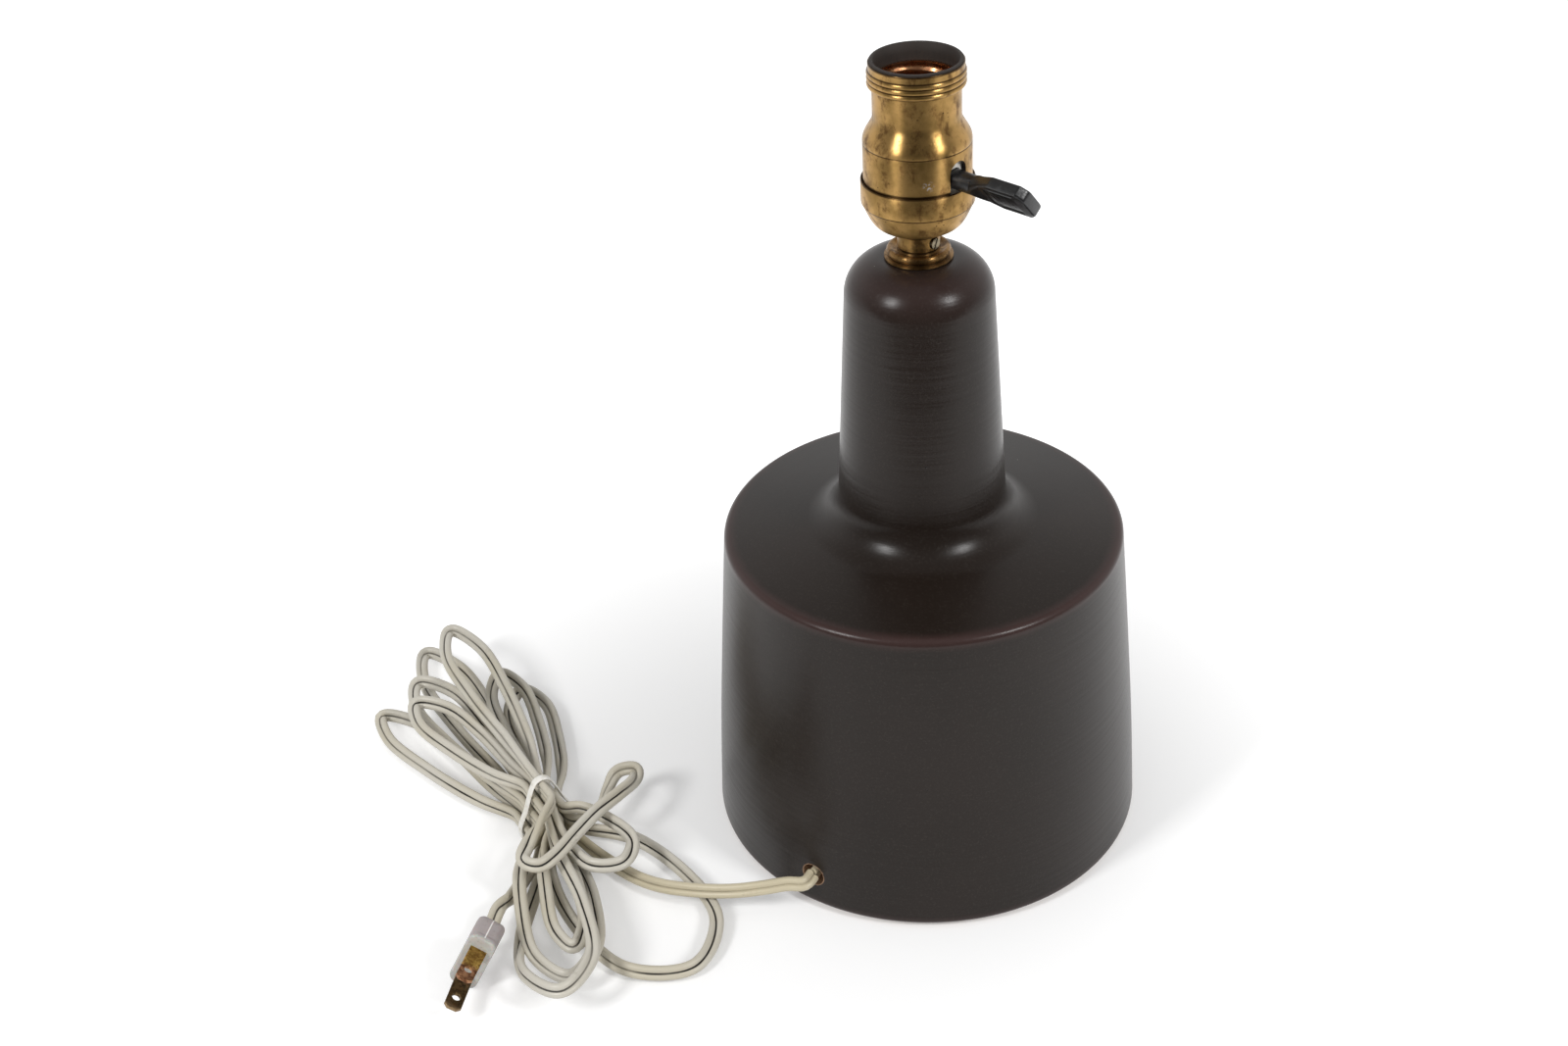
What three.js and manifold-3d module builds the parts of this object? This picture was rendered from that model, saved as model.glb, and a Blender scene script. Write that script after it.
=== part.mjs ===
// A table lamp: a glazed ceramic bottle on a felt ring, a threaded pipe through its middle, a brass
// lampholder with a turn key on top, and a flat two-core cord that lies tied in a loose hank.
// Millimetres, +Z up. The origin is the middle of the felt's underside. A direction round the lamp
// is an angle in degrees from -Y, the front, towards +X.

import * as THREE from "three";
import { mergeVertices } from "three/addons/utils/BufferGeometryUtils.js";
import Module from "manifold-3d";

const wasm = await Module();
wasm.setup();

// Clearances
const seatGap = 0.2; // between a piece and what it rests on or sits in
const turnGap = 0.3; // round the pieces that turn with the key
const cordGap = 0.3; // between the cord's lengths, and between the cord and what it meets
const cutOverrun = 1; // how far a cutting shape runs past the face that it cuts

// Facets
const bodySides = 42;
const shellSides = 30;
const smallSides = 24;
const screwSides = 10;
const arcSteps = 5;
const beadArcSteps = 3;
const shortArcSteps = 2;
const innerCordSteps = 32;
const leadSteps = 26;
const tailSteps = 14;

// Felt ring
const feltThickness = 1.5;
const feltInset = 4.5;
const feltRingWidth = 9;

// Ceramic bottle, with heights above its foot
const bodyHeight = 232.8;
const footRadius = 81.8;
const footRounding = 2.4;
const footRingWidth = 14;
const bellyHeight = 46.3;
const bellyRadius = 79.2;
const shoulderHeight = 124.6;
const shoulderRadius = 73.2;
const shoulderRounding = 2.6;
const filletRadius = 14.3;
const neckFootRadius = 30.2;
const neckTopRadius = 25.9;
const neckRounding = 13.8;
const bodyWall = 6;
const recessDepth = 36;
const recessDraft = 2.2;
const recessRounding = 5;
const floorThickness = 6;
const pipeHolePlay = 0.8;
const cordHoleRadius = 4.5;
const cordHoleHeight = 13.8;
const cordHoleAngle = -31.3;

// Threaded pipe and what clamps the bottle on it
const pipeRadius = 4.85;
const pipeBore = 3.4;
const pipeTail = 23.5;
const washerRadius = 16;
const washerThickness = 1.6;
const lockWasherRadius = 8.2;
const lockWasherThickness = 1.5;
const lockWasherSplit = 1.2;
const nutAcrossFlats = 16;
const nutThickness = 5.6;
const bushingWall = 1.1;
const bushingSkirt = 4;
const bushingLip = 2;
const bushingBore = 3.2;
const neckWasherRadius = 11.8;
const neckWasherThickness = 0.8;
const checkRingRadius = 10.9;
const checkRingThickness = 2.7;
const checkRingBead = 0.9;
const checkRingDish = 0.9;
const checkRingBeadFrom = -60;
const checkRingBeadTo = 150;

// Lampholder cap, a spun bowl on a collar
const collarRadius = 7.2;
const collarHeight = 5.3;
const collarRidge = 0.8;
const collarPlay = 0.2;
const capRadius = 19.05;
const capWall = 0.5;
const capBowlHeight = 11.4;
const capBandHeight = 8.2;
const capStep = 0.3;
const pipeInCap = 1.2;
const setScrewRadius = 1.9;
const setScrewProud = 0.7;
const setScrewSlot = 0.6;
const setScrewAngle = 47;
const setScrewSlotLean = 25;
const capLinerWall = 0.6;
const bowlMidRadiusShare = 0.78; // of the cap's radius
const bowlMidHeightShare = 0.36; // of the bowl's height

// Lampholder shell
const shellRadius = 18.06;
const shellWall = 0.35;
const shellInCap = 7;
const shellBodyHeight = 26.4;
const shellFlareHeight = 7;
const shellThroatRadius = 14.6;
const shellThroatHeight = 5.8;
const beadCount = 3;
const beadPitch = 1.8;
const beadHeight = 0.7;
const beadArc = 70;
const shellMouthRadius = 15.7;
const shellMouthHeight = 2.4;
const keySlotWidth = 7.6;
const keySlotRise = 3.2;
const flareRadiusShare = 0.5; // of the step from the body's radius to the throat's

// Fibre sleeve inside the shell
const sleeveWall = 0.4;
const sleeveRimWall = 1.2;
const sleeveProud = 0.7;
const sleeveSlotShift = 0.8;

// Threaded shell that the bulb screws into
const screwCrestRadius = 13.6;
const screwDepth = 1.1;
const screwPitch = 3.63;
const screwTurns = 4.5;
const screwWall = 0.35;
const screwSink = 5.6;
const screwStepsPerTurn = 5;
const screwFloorHole = 5;

// Porcelain block with the switch
const blockRadius = 16.2;
const blockHeight = 23.6;
const blockFoot = 1.2;
const blockBossRadius = 11.6;
const pocketWidth = 12.4;
const pocketDepth = 15;
const terminalFlat = 12.6;
const terminalFlatWidth = 9;
const terminalHeight = 5.2;
const terminalHeadRadius = 3;
const terminalHeadHeight = 1.6;
const terminalShankRadius = 1.4;
const terminalShankLength = 4;
const terminalSlot = 0.8;
const contactPostRadius = 1.5;
const contactWidth = 6;
const contactLength = 13;
const contactThickness = 0.5;
const contactRise = 2.2;
const contactSpanShare = 0.72;
const springThickness = 0.4;
const springWidth = 5;
const springLength = 10.6;

// Turn key
const keyAngle = 47.6;
const keyRise = 10.7; // of its axis above the shell's lower rim
const keyRoll = 50;
const keyShaftRadius = 1.7;
const keyShaftTail = 12;
const keyShaftInKey = 8;
const keyStemRadius = 3.3;
const keyStemStart = 13.4;
const keyPaddleStart = 27;
const keyReach = 48.3;
const keyPaddleWidth = 15;
const keyPaddleThickness = 4.4;
const keyPaddleDroop = 6;
const keyBevel = 0.7;
const paddleFlareShare = 0.42; // of the paddle's length
const paddleCornerShare = 0.35; // of the paddle's half width
const camWidth = 7;
const camLength = 8;
const camCorner = 1.2;

// Flat two-core cord
const cordThickness = 2.8;
const cordWidth = 5.6;
const wireSkin = 0.2; // what is left off each core's radius inside the lampholder
const wireStripRise = 2;
const recessSag = 7;
const recessRunShares = [0.8, 0.5, 0.16, 0.03]; // of the foot's radius

// The free cord's route from the foot to the hank, and from the hank to the plug
const leadRoute = [
  [-52, -76, 14.6],
  [-60.5, -77.2, 12.8],
  [-70, -74.6, 11.6],
  [-80, -70.6, 10.9],
  [-90, -67.4, 10.2],
  [-100, -63.6, 8.4],
  [-109, -58.8, 6.4],
  [-118, -52.4, 4.9],
  [-126.5, -46.2, 4.4],
];
const tailRoute = [
  [-155.4, -71.5, 5.4],
  [-156.6, -77, 7.6],
];

// Hank: where its waist lies, which way it points, and how its strands pass the tie
const hankX = -149.5;
const hankY = -27.6;
const hankTurn = 123.6;
const strandPitch = 3.6;
const rowPitch = 6.3;
const waistHalf = 10;
const strandEnd = 1.5;
const floorClear = 0.3;
const stepsPerPetal = 24;
const neighbourRings = 6; // sections this close along the cord aren't measured against each other

// Tie
const tieThickness = 0.9;
const tieWidth = 3.4;
const tieCorner = 1.2;
const tieTopSpread = 1;

// Plug
const plugX = -157.9;
const plugY = -87.6;
const plugTurn = -6.6;
const plugLift = 0.5;
const gripLength = 15.4;
const gripWidth = 11.6;
const gripHeight = 17.4;
const gripShoulder = 5.2; // radius where the cord enters
const gripRounding = 1.6; // radius along the long edges
const housingLength = 15.5;
const housingWidth = 10.4;
const housingRounding = 1.3;
const bladeSpacing = 12.7;
const bladeWidth = 6.35;
const bladeThickness = 1.5;
const bladeReach = 17.2;
const bladeHoleRadius = 1.6;
const bladeHoleInset = 4.4;
const bladeRootHoleInset = 3.6;
const bladeChamfer = 1.4;
const bladeLand = 0.3;

// Worked out from the sizes above
const footZ = feltThickness + seatGap;
const bodyTop = footZ + bodyHeight;
const recessRoof = footZ + recessDepth;
const floorTop = recessRoof + floorThickness;
const neckWasherZ = bodyTop + seatGap;
const checkRingZ = neckWasherZ + neckWasherThickness + seatGap;
const capZ = checkRingZ + checkRingThickness + seatGap;
const bowlZ = capZ + collarHeight;
const bandZ = bowlZ + capBowlHeight;
const capLipZ = bandZ + capBandHeight;
const shellZ = capLipZ - shellInCap;
const shellBodyTop = shellZ + shellBodyHeight;
const throatZ = shellBodyTop + shellFlareHeight;
const beadsZ = throatZ + shellThroatHeight;
const mouthZ = beadsZ + beadPitch * beadCount;
const shellTop = mouthZ + shellMouthHeight;
const screwTop = shellTop - screwSink;
const screwBottom = screwTop - screwPitch * screwTurns;
const keyHeight = shellZ + keyRise;
const blockZ = shellZ + blockFoot;
const blockTop = blockZ + blockHeight;
const plugHeight = plugLift + gripHeight / 2;
const tieZ = floorClear;
const lowestStrandZ = tieZ + tieThickness + cordGap + cordWidth / 2;

const radians = THREE.MathUtils.degToRad;
const holeX = Math.sin(radians(cordHoleAngle));
const holeY = -Math.cos(radians(cordHoleAngle));
const holeZ = footZ + cordHoleHeight;
const holeMouth = sideRadius(holeZ) - seatGap;

const lamp = new THREE.Group();

// Materials
function finish(color, roughness, metalness) {
  return new THREE.MeshStandardMaterial({ color, roughness, metalness });
}

const glaze = finish("#332d2b", 0.48, 0);
const feltCloth = finish("#2f3b2c", 0.95, 0);
const steel = finish("#8f8f8c", 0.4, 1);
const darkPlastic = finish("#171717", 0.5, 0);
const brass = finish("#8d6a2e", 0.34, 1);
const oldBrass = finish("#6b4426", 0.45, 1);
const copper = finish("#a85f33", 0.3, 1);
const fibre = finish("#241d1a", 0.8, 0);
const porcelain = finish("#d9d4cb", 0.35, 0);
const springBronze = finish("#9a7140", 0.35, 1);
const cordJacket = finish("#b9b3a6", 0.5, 0);
const whiteTie = finish("#e8e6e0", 0.55, 0);
const mauvePlastic = finish("#a79c9c", 0.45, 0);
const milkyPlastic = finish("#d3d1cf", 0.35, 0);

function place(name, geometry, material, parent = lamp) {
  const piece = new THREE.Mesh(geometry, material);
  piece.name = name;
  parent.add(piece);
  return piece;
}

// Geometry helpers
function facing(geometry) {
  const positions = geometry.attributes.position;
  const index = geometry.index.array;
  const corners = [new THREE.Vector3(), new THREE.Vector3(), new THREE.Vector3()];
  let volume = 0;
  for (let face = 0; face < index.length; face += 3) {
    corners.forEach((corner, k) => corner.fromBufferAttribute(positions, index[face + k]));
    volume += corners[0].dot(corners[1].clone().cross(corners[2]));
  }
  if (volume < 0) index.reverse();
  return geometry;
}

function bare(geometry) {
  for (const name of Object.keys(geometry.attributes)) {
    if (name !== "position") geometry.deleteAttribute(name);
  }
  return facing(mergeVertices(geometry));
}

function toSolid(geometry) {
  const clean = bare(geometry.clone());
  return new wasm.Manifold(new wasm.Mesh({
    numProp: 3,
    vertProperties: new Float32Array(clean.attributes.position.array),
    triVerts: new Uint32Array(clean.index.array),
  }));
}

function toGeometry(solid) {
  const mesh = solid.getMesh();
  const geometry = new THREE.BufferGeometry();
  geometry.setAttribute("position", new THREE.BufferAttribute(mesh.vertProperties, 3));
  geometry.setIndex(new THREE.BufferAttribute(mesh.triVerts, 1));
  return geometry;
}

function cut(geometry, ...tools) {
  return toGeometry(tools.reduce((solid, tool) => solid.subtract(toSolid(tool)), toSolid(geometry)));
}

function join(...geometries) {
  return toGeometry(geometries.map(toSolid).reduce((solid, other) => solid.add(other)));
}

// A closed ring of [radius, height] points, turned round the lamp's axis.
function turned(points, sides) {
  const outline = points.map(([radius, height]) => new THREE.Vector2(radius, height));
  outline.push(outline[0].clone());
  const geometry = new THREE.LatheGeometry(outline, sides);
  geometry.rotateX(Math.PI / 2);
  return bare(geometry);
}

function ring(inner, outer, bottom, top, sides) {
  return turned([[inner, bottom], [outer, bottom], [outer, top], [inner, top]], sides);
}

// Points of an arc round [radius, height], from one angle to another, in degrees.
function arc(radius, height, size, from, to, steps = arcSteps) {
  return Array.from({ length: steps + 1 }, (_, step) => {
    const angle = radians(THREE.MathUtils.lerp(from, to, step / steps));
    return [radius + size * Math.cos(angle), height + size * Math.sin(angle)];
  });
}

function curveThrough(points, divisions) {
  const curve = new THREE.SplineCurve(points.map(([radius, height]) => new THREE.Vector2(radius, height)));
  return curve.getPoints(divisions).map((point) => [point.x, point.y]);
}

// A bar along the direction that an angle round the lamp points to, from one radius to another.
function radialBar(radius, from, to, height, angle, sides = smallSides) {
  const bar = new THREE.CylinderGeometry(radius, radius, to - from, sides);
  bar.translate(0, -(from + to) / 2, 0);
  bar.rotateZ(radians(angle));
  bar.translate(0, 0, height);
  return bar;
}

function block(width, depth, bottom, top) {
  const box = new THREE.BoxGeometry(width, depth, top - bottom);
  box.translate(0, 0, (bottom + top) / 2);
  return box;
}

function atAngle(geometry, angle) {
  geometry.rotateZ(radians(angle));
  return geometry;
}

// Felt ring under the foot
function makeFelt() {
  const outer = footRadius - feltInset;
  place("base_felt", ring(outer - feltRingWidth, outer, 0, feltThickness, bodySides), feltCloth);
}

// Ceramic bottle: its side, and the side's radius at a height
function bottleSide() {
  return curveThrough([
    [footRadius, footZ + footRounding],
    [bellyRadius, footZ + bellyHeight],
    [shoulderRadius, footZ + shoulderHeight - shoulderRounding],
  ], arcSteps);
}

function sideRadius(height) {
  const side = bottleSide();
  const above = Math.max(1, side.findIndex((point) => point[1] > height));
  const [lowRadius, low] = side[above - 1];
  const [highRadius, high] = side[above];
  return THREE.MathUtils.mapLinear(height, low, high, lowRadius, highRadius);
}

// The outside from the foot up to the pipe hole, then the inside back down
function ceramicOutside() {
  const shoulderZ = footZ + shoulderHeight;
  const shoulder = shoulderRadius - shoulderRounding;
  return [
    ...arc(footRadius - footRounding, footZ + footRounding, footRounding, -90, 0, shortArcSteps),
    ...bottleSide().slice(1, -1),
    ...arc(shoulder, shoulderZ - shoulderRounding, shoulderRounding, 0, 90, shortArcSteps),
    ...arc(neckFootRadius + filletRadius, shoulderZ + filletRadius, filletRadius, 270, 180),
    ...arc(neckTopRadius - neckRounding, bodyTop - neckRounding, neckRounding, 0, 90),
  ];
}

function ceramicInside() {
  const shoulderZ = footZ + shoulderHeight;
  const pipeHole = pipeRadius + pipeHolePlay;
  const recessFoot = footRadius - footRounding - footRingWidth;
  const recessTop = sideRadius(recessRoof) - footRingWidth - recessDraft;
  const neckTop = neckTopRadius - neckRounding;
  const hollow = filletRadius + bodyWall;
  const hollowFoot = floorTop + recessRounding;
  const hollowRadius = sideRadius(hollowFoot) - bodyWall;
  return [
    [pipeHole, bodyTop],
    ...arc(neckTop, bodyTop - neckRounding, neckRounding - bodyWall, 90, 0, shortArcSteps),
    ...arc(neckFootRadius + filletRadius, shoulderZ + filletRadius, hollow, 180, 270, shortArcSteps),
    [shoulderRadius - bodyWall, shoulderZ - bodyWall],
    [hollowRadius, hollowFoot],
    [hollowRadius - recessRounding, floorTop],
    [pipeHole, floorTop],
    [pipeHole, recessRoof],
    [recessTop - recessRounding, recessRoof],
    [recessTop, recessRoof - recessRounding],
    [recessFoot, footZ],
  ];
}

function makeCeramic() {
  const pipeHole = pipeRadius + pipeHolePlay;
  const [topHole, firstArc, ...rest] = ceramicInside();
  const roof = [pipeHole, bodyTop - bodyWall];
  const bottle = turned([...ceramicOutside(), topHole, roof, firstArc, ...rest], bodySides);
  const beyond = Math.max(footRadius, bellyRadius) + cutOverrun;
  const hole = radialBar(cordHoleRadius, washerRadius, beyond, holeZ, cordHoleAngle);
  place("ceramic_body", cut(bottle, hole), glaze);
}

// Threaded pipe, and the washer, split washer, nut and bushing at its lower end
function hexagon(acrossFlats, hole, bottom, top) {
  const nut = new THREE.CylinderGeometry(
    acrossFlats / Math.sqrt(3),
    acrossFlats / Math.sqrt(3),
    top - bottom,
    6,
  );
  nut.rotateX(Math.PI / 2);
  nut.translate(0, 0, (bottom + top) / 2);
  return cut(nut, ring(0, hole, bottom - cutOverrun, top + cutOverrun, smallSides));
}

function makePipe() {
  const top = bowlZ + pipeInCap;
  place("lamp_pipe", ring(pipeBore, pipeRadius, pipeTail, top, smallSides), steel);
}

function makeClamp() {
  const hole = pipeRadius + seatGap;
  const washerTop = recessRoof - seatGap;
  const splitTop = washerTop - washerThickness - seatGap;
  const nutTop = splitTop - lockWasherThickness - seatGap;
  place("base_washer", ring(hole, washerRadius, washerTop - washerThickness, washerTop, smallSides), steel);
  const split = ring(hole, lockWasherRadius, splitTop - lockWasherThickness, splitTop, smallSides);
  const sawFoot = splitTop - lockWasherThickness - cutOverrun;
  const saw = block(lockWasherSplit, lockWasherRadius, sawFoot, splitTop + cutOverrun);
  saw.translate(0, lockWasherRadius / 2 + hole / 2, 0);
  place("lock_washer", cut(split, saw), steel);
  place("base_nut", hexagon(nutAcrossFlats, hole, nutTop - nutThickness, nutTop), steel);
}

function makeBushing() {
  const inside = pipeRadius + seatGap;
  const outside = inside + bushingWall;
  const seat = pipeTail - seatGap;
  place("pipe_bushing", turned([
    [bushingBore, seat - bushingLip],
    [outside, seat - bushingLip],
    [outside, pipeTail + bushingSkirt - bushingLip],
    [inside, pipeTail + bushingSkirt - bushingLip],
    [inside, seat],
    [bushingBore, seat],
  ], smallSides), darkPlastic);
}

// Rings on top of the neck
function makeNeckRings() {
  const hole = pipeRadius + seatGap;
  const top = checkRingZ + checkRingThickness;
  place(
    "neck_washer",
    ring(hole, neckWasherRadius, neckWasherZ, neckWasherZ + neckWasherThickness, shellSides),
    oldBrass,
  );
  place("check_ring", turned([
    [hole, checkRingZ],
    [checkRingRadius - checkRingBead, checkRingZ],
    ...arc(
      checkRingRadius - checkRingBead,
      top - checkRingBead,
      checkRingBead,
      checkRingBeadFrom,
      checkRingBeadTo,
      beadArcSteps,
    ),
    [collarRadius + seatGap, top - checkRingDish],
    [collarRadius, top - seatGap],
    [hole, top - seatGap],
  ], shellSides), brass);
}

// Lampholder cap, its set screw and its fibre liner
function bowlCurve() {
  return curveThrough([
    [collarRadius + collarRidge, bowlZ + collarRidge],
    [capRadius * bowlMidRadiusShare, bowlZ + capBowlHeight * bowlMidHeightShare],
    [capRadius - capStep, bandZ],
  ], arcSteps);
}

function makeCap() {
  const hole = pipeRadius + collarPlay;
  const inner = capRadius - capWall;
  const bowl = bowlCurve();
  const shell = turned([
    [hole, capZ],
    [collarRadius, capZ],
    [collarRadius, bowlZ],
    [collarRadius + collarRidge, bowlZ],
    ...bowl,
    [capRadius, bandZ + capStep],
    [capRadius, capLipZ],
    [inner, capLipZ],
    [inner, bandZ],
    ...bowl.slice(1, -1).reverse().map(([radius, height]) => [radius - capWall, height + capWall]),
    [hole, bowlZ + collarRidge + capWall],
  ], shellSides);
  const screwZ = (capZ + bowlZ) / 2;
  const drilled = radialBar(setScrewRadius + seatGap, 0, capRadius, screwZ, setScrewAngle, screwSides);
  place("socket_cap", cut(shell, drilled), brass);
}

function makeSetScrew() {
  const screwZ = (capZ + bowlZ) / 2;
  const end = collarRadius + setScrewProud;
  const screw = radialBar(setScrewRadius, pipeRadius + seatGap, end, screwZ, setScrewAngle, screwSides);
  const slot = new THREE.BoxGeometry(setScrewSlot, setScrewProud * 2, setScrewRadius * 3);
  slot.rotateY(radians(setScrewSlotLean));
  slot.translate(0, -end, 0);
  slot.rotateZ(radians(setScrewAngle));
  slot.translate(0, 0, screwZ);
  place("set_screw", cut(screw, slot), steel);
}

function makeCapLiner() {
  const inset = capWall + seatGap;
  const outside = bowlCurve().slice(1).map(([radius, height]) => [radius - inset, height + inset]);
  const inside = outside.map(([radius, height]) => [radius - capLinerWall, height + capLinerWall]);
  place("cap_liner", turned([...outside, ...inside.reverse()], smallSides), fibre);
}

// Lampholder shell: straight body, shoulder, throat, three rolled beads and a plain mouth
function shellOutside() {
  const flareRadius = THREE.MathUtils.lerp(shellRadius, shellThroatRadius, flareRadiusShare);
  const shoulder = curveThrough([
    [shellRadius, shellBodyTop],
    [flareRadius, shellBodyTop + shellFlareHeight / 2],
    [shellThroatRadius, throatZ],
  ], arcSteps);
  const beadFoot = shellMouthRadius - seatGap;
  const beads = Array.from({ length: beadCount }, (_, bead) => {
    const middle = beadsZ + beadPitch * (bead + 1 / 2);
    const round = arc(0, middle, beadPitch / 2, -beadArc, beadArc, beadArcSteps);
    return round.map(([out, height]) => [beadFoot + (out * beadHeight) / (beadPitch / 2), height]);
  }).flat();
  return [
    [shellRadius, shellZ],
    ...shoulder,
    [shellThroatRadius, beadsZ],
    ...beads,
    [shellMouthRadius, mouthZ + seatGap],
    [shellMouthRadius, shellTop],
  ];
}

// A slot that is open below and round above, for the key's stem to pass the wall
function keySlot(width, rise, depth) {
  const top = keyHeight + rise - (width - keyStemRadius * 2) / 2;
  const bar = radialBar(width / 2, 0, depth, top, keyAngle);
  const channel = block(width, depth, shellZ - cutOverrun, top);
  channel.translate(0, -depth / 2, 0);
  return join(bar, atAngle(channel, keyAngle));
}

function makeShell() {
  const inner = shellThroatRadius - shellWall;
  const wall = shellRadius - shellWall;
  const shell = turned([
    ...shellOutside(),
    [shellMouthRadius - shellWall, shellTop],
    [shellMouthRadius - shellWall, mouthZ],
    [inner, mouthZ - shellWall],
    [inner, throatZ],
    [inner + (wall - inner) * flareRadiusShare, shellBodyTop + shellFlareHeight / 2 - shellWall],
    [wall, shellBodyTop - shellWall],
    [wall, shellZ],
  ], shellSides);
  place("socket_shell", cut(shell, keySlot(keySlotWidth, keySlotRise, shellRadius + cutOverrun)), brass);
}

// Fibre sleeve that lines the shell and stands a little proud of its mouth
function makeSleeve() {
  const gap = seatGap / 2;
  const throat = shellThroatRadius - shellWall - gap;
  const body = shellRadius - shellWall - gap;
  const rim = shellMouthRadius - shellWall - gap;
  const bottom = shellZ + seatGap;
  const flareMiddle = shellBodyTop + shellFlareHeight / 2;
  const middle = (throat + body) / 2;
  const sleeve = turned([
    [body, bottom],
    [body, shellBodyTop - shellWall * 3],
    [middle, flareMiddle - shellWall * 3],
    [throat, throatZ - shellWall * 3],
    [throat, mouthZ - shellWall],
    [rim, mouthZ + seatGap],
    [rim, shellTop + sleeveProud],
    [rim - sleeveRimWall, shellTop + sleeveProud],
    [throat - sleeveWall, mouthZ - sleeveWall],
    [throat - sleeveWall, throatZ - shellWall * 3 - sleeveWall],
    [middle - sleeveWall, flareMiddle - shellWall * 3 - sleeveWall],
    [body - sleeveWall, shellBodyTop - shellWall * 3 - sleeveWall],
    [body - sleeveWall, bottom],
  ], shellSides);
  const slot = keySlot(keySlotWidth - sleeveSlotShift / 2, keySlotRise - sleeveSlotShift / 2, shellRadius);
  place("shell_sleeve", cut(sleeve, slot), fibre);
}

// A solid turned from a closed outline that may differ at each angle: outlineAt gives
// [radius, height] points, the same number at every angle.
function turnedBy(outlineAt, sides) {
  const columns = Array.from({ length: sides }, (_, side) => {
    const angle = (side / sides) * Math.PI * 2;
    return outlineAt(angle).map(([radius, height]) => [
      radius * Math.cos(angle),
      radius * Math.sin(angle),
      height,
    ]);
  });
  const count = columns[0].length;
  const faces = [];
  for (let side = 0; side < sides; side += 1) {
    const here = side * count;
    const there = ((side + 1) % sides) * count;
    for (let point = 0; point < count; point += 1) {
      const next = (point + 1) % count;
      faces.push(here + point, there + point, there + next);
      faces.push(here + point, there + next, here + next);
    }
  }
  const geometry = new THREE.BufferGeometry();
  geometry.setAttribute("position", new THREE.Float32BufferAttribute(columns.flat(2), 3));
  geometry.setIndex(faces);
  return facing(geometry);
}

// Threaded shell: a rolled thread that winds down to a flat floor with a hole for the contact
function makeScrewShell() {
  const steps = Math.round(screwTurns * screwStepsPerTurn);
  const middle = screwCrestRadius - screwDepth / 2;
  const wave = (angle, height) => {
    const turns = (height - screwBottom) / screwPitch - angle / (Math.PI * 2);
    const fade = Math.min(1, (height - screwBottom) / screwPitch, (screwTop - height) / screwPitch);
    return middle + (screwDepth / 2) * fade * Math.cos(turns * Math.PI * 2);
  };
  const outlineAt = (angle) => {
    const outside = [];
    for (let step = 0; step <= steps; step += 1) {
      const height = screwBottom + (screwTop - screwBottom) * (step / steps);
      outside.push([wave(angle, height), height]);
    }
    const inside = outside.map(([radius, height]) => [radius - screwWall, height]).reverse();
    inside[inside.length - 1][1] += screwWall;
    const lip = [screwCrestRadius, screwTop + screwWall];
    return [
      [screwFloorHole, screwBottom],
      ...outside,
      lip,
      [middle - screwWall, screwTop + screwWall],
      ...inside,
      [screwFloorHole, screwBottom + screwWall],
    ];
  };
  place("screw_shell", turnedBy(outlineAt, smallSides), copper);
}

// Porcelain block: flats for the two terminals, a pocket for the switch, bores for its shaft
function makeBlock() {
  const base = turned([
    [contactPostRadius + seatGap, blockZ],
    [blockRadius, blockZ],
    [blockRadius, blockTop - shellFlareHeight / 2],
    [blockBossRadius, blockTop],
    [contactPostRadius + seatGap, blockTop],
  ], smallSides);
  const tools = [
    block(pocketWidth, pocketWidth, blockZ - cutOverrun, blockZ + pocketDepth),
    radialBar(keyShaftRadius + turnGap, -keyShaftTail - turnGap, blockRadius, keyHeight, 0),
    radialBar(keyStemRadius + turnGap, keyStemStart - turnGap, blockRadius + cutOverrun, keyHeight, 0),
  ];
  for (const side of [1, -1]) {
    const flat = block(blockRadius, terminalFlatWidth, blockZ - cutOverrun, blockZ + terminalFlatWidth);
    flat.translate(side * (terminalFlat + blockRadius / 2), 0, 0);
    tools.push(flat);
    tools.push(radialBar(
      terminalShankRadius + seatGap,
      terminalFlat - terminalShankLength - seatGap,
      terminalFlat + cutOverrun,
      blockZ + terminalHeight,
      side * 90,
      screwSides,
    ));
  }
  place("switch_block", atAngle(cut(base, ...tools), keyAngle), porcelain);
}

function makeTerminals() {
  const height = blockZ + terminalHeight;
  const headFrom = terminalFlat + seatGap;
  const headTo = headFrom + terminalHeadHeight;
  const screw = (side) => {
    const angle = keyAngle + side * 90;
    const shank = radialBar(
      terminalShankRadius,
      terminalFlat - terminalShankLength,
      headFrom + cutOverrun,
      height,
      angle,
      screwSides,
    );
    const head = radialBar(terminalHeadRadius, headFrom, headTo, height, angle, smallSides / 2);
    const slot = new THREE.BoxGeometry(terminalSlot, terminalSlot * 2, terminalHeadRadius * 3);
    slot.translate(0, -headTo, 0);
    slot.rotateZ(radians(angle));
    slot.translate(0, 0, height);
    return cut(join(shank, head), slot);
  };
  place("terminal_screw_line", screw(1), brass);
  place("terminal_screw_neutral", screw(-1), steel);
}

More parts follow.
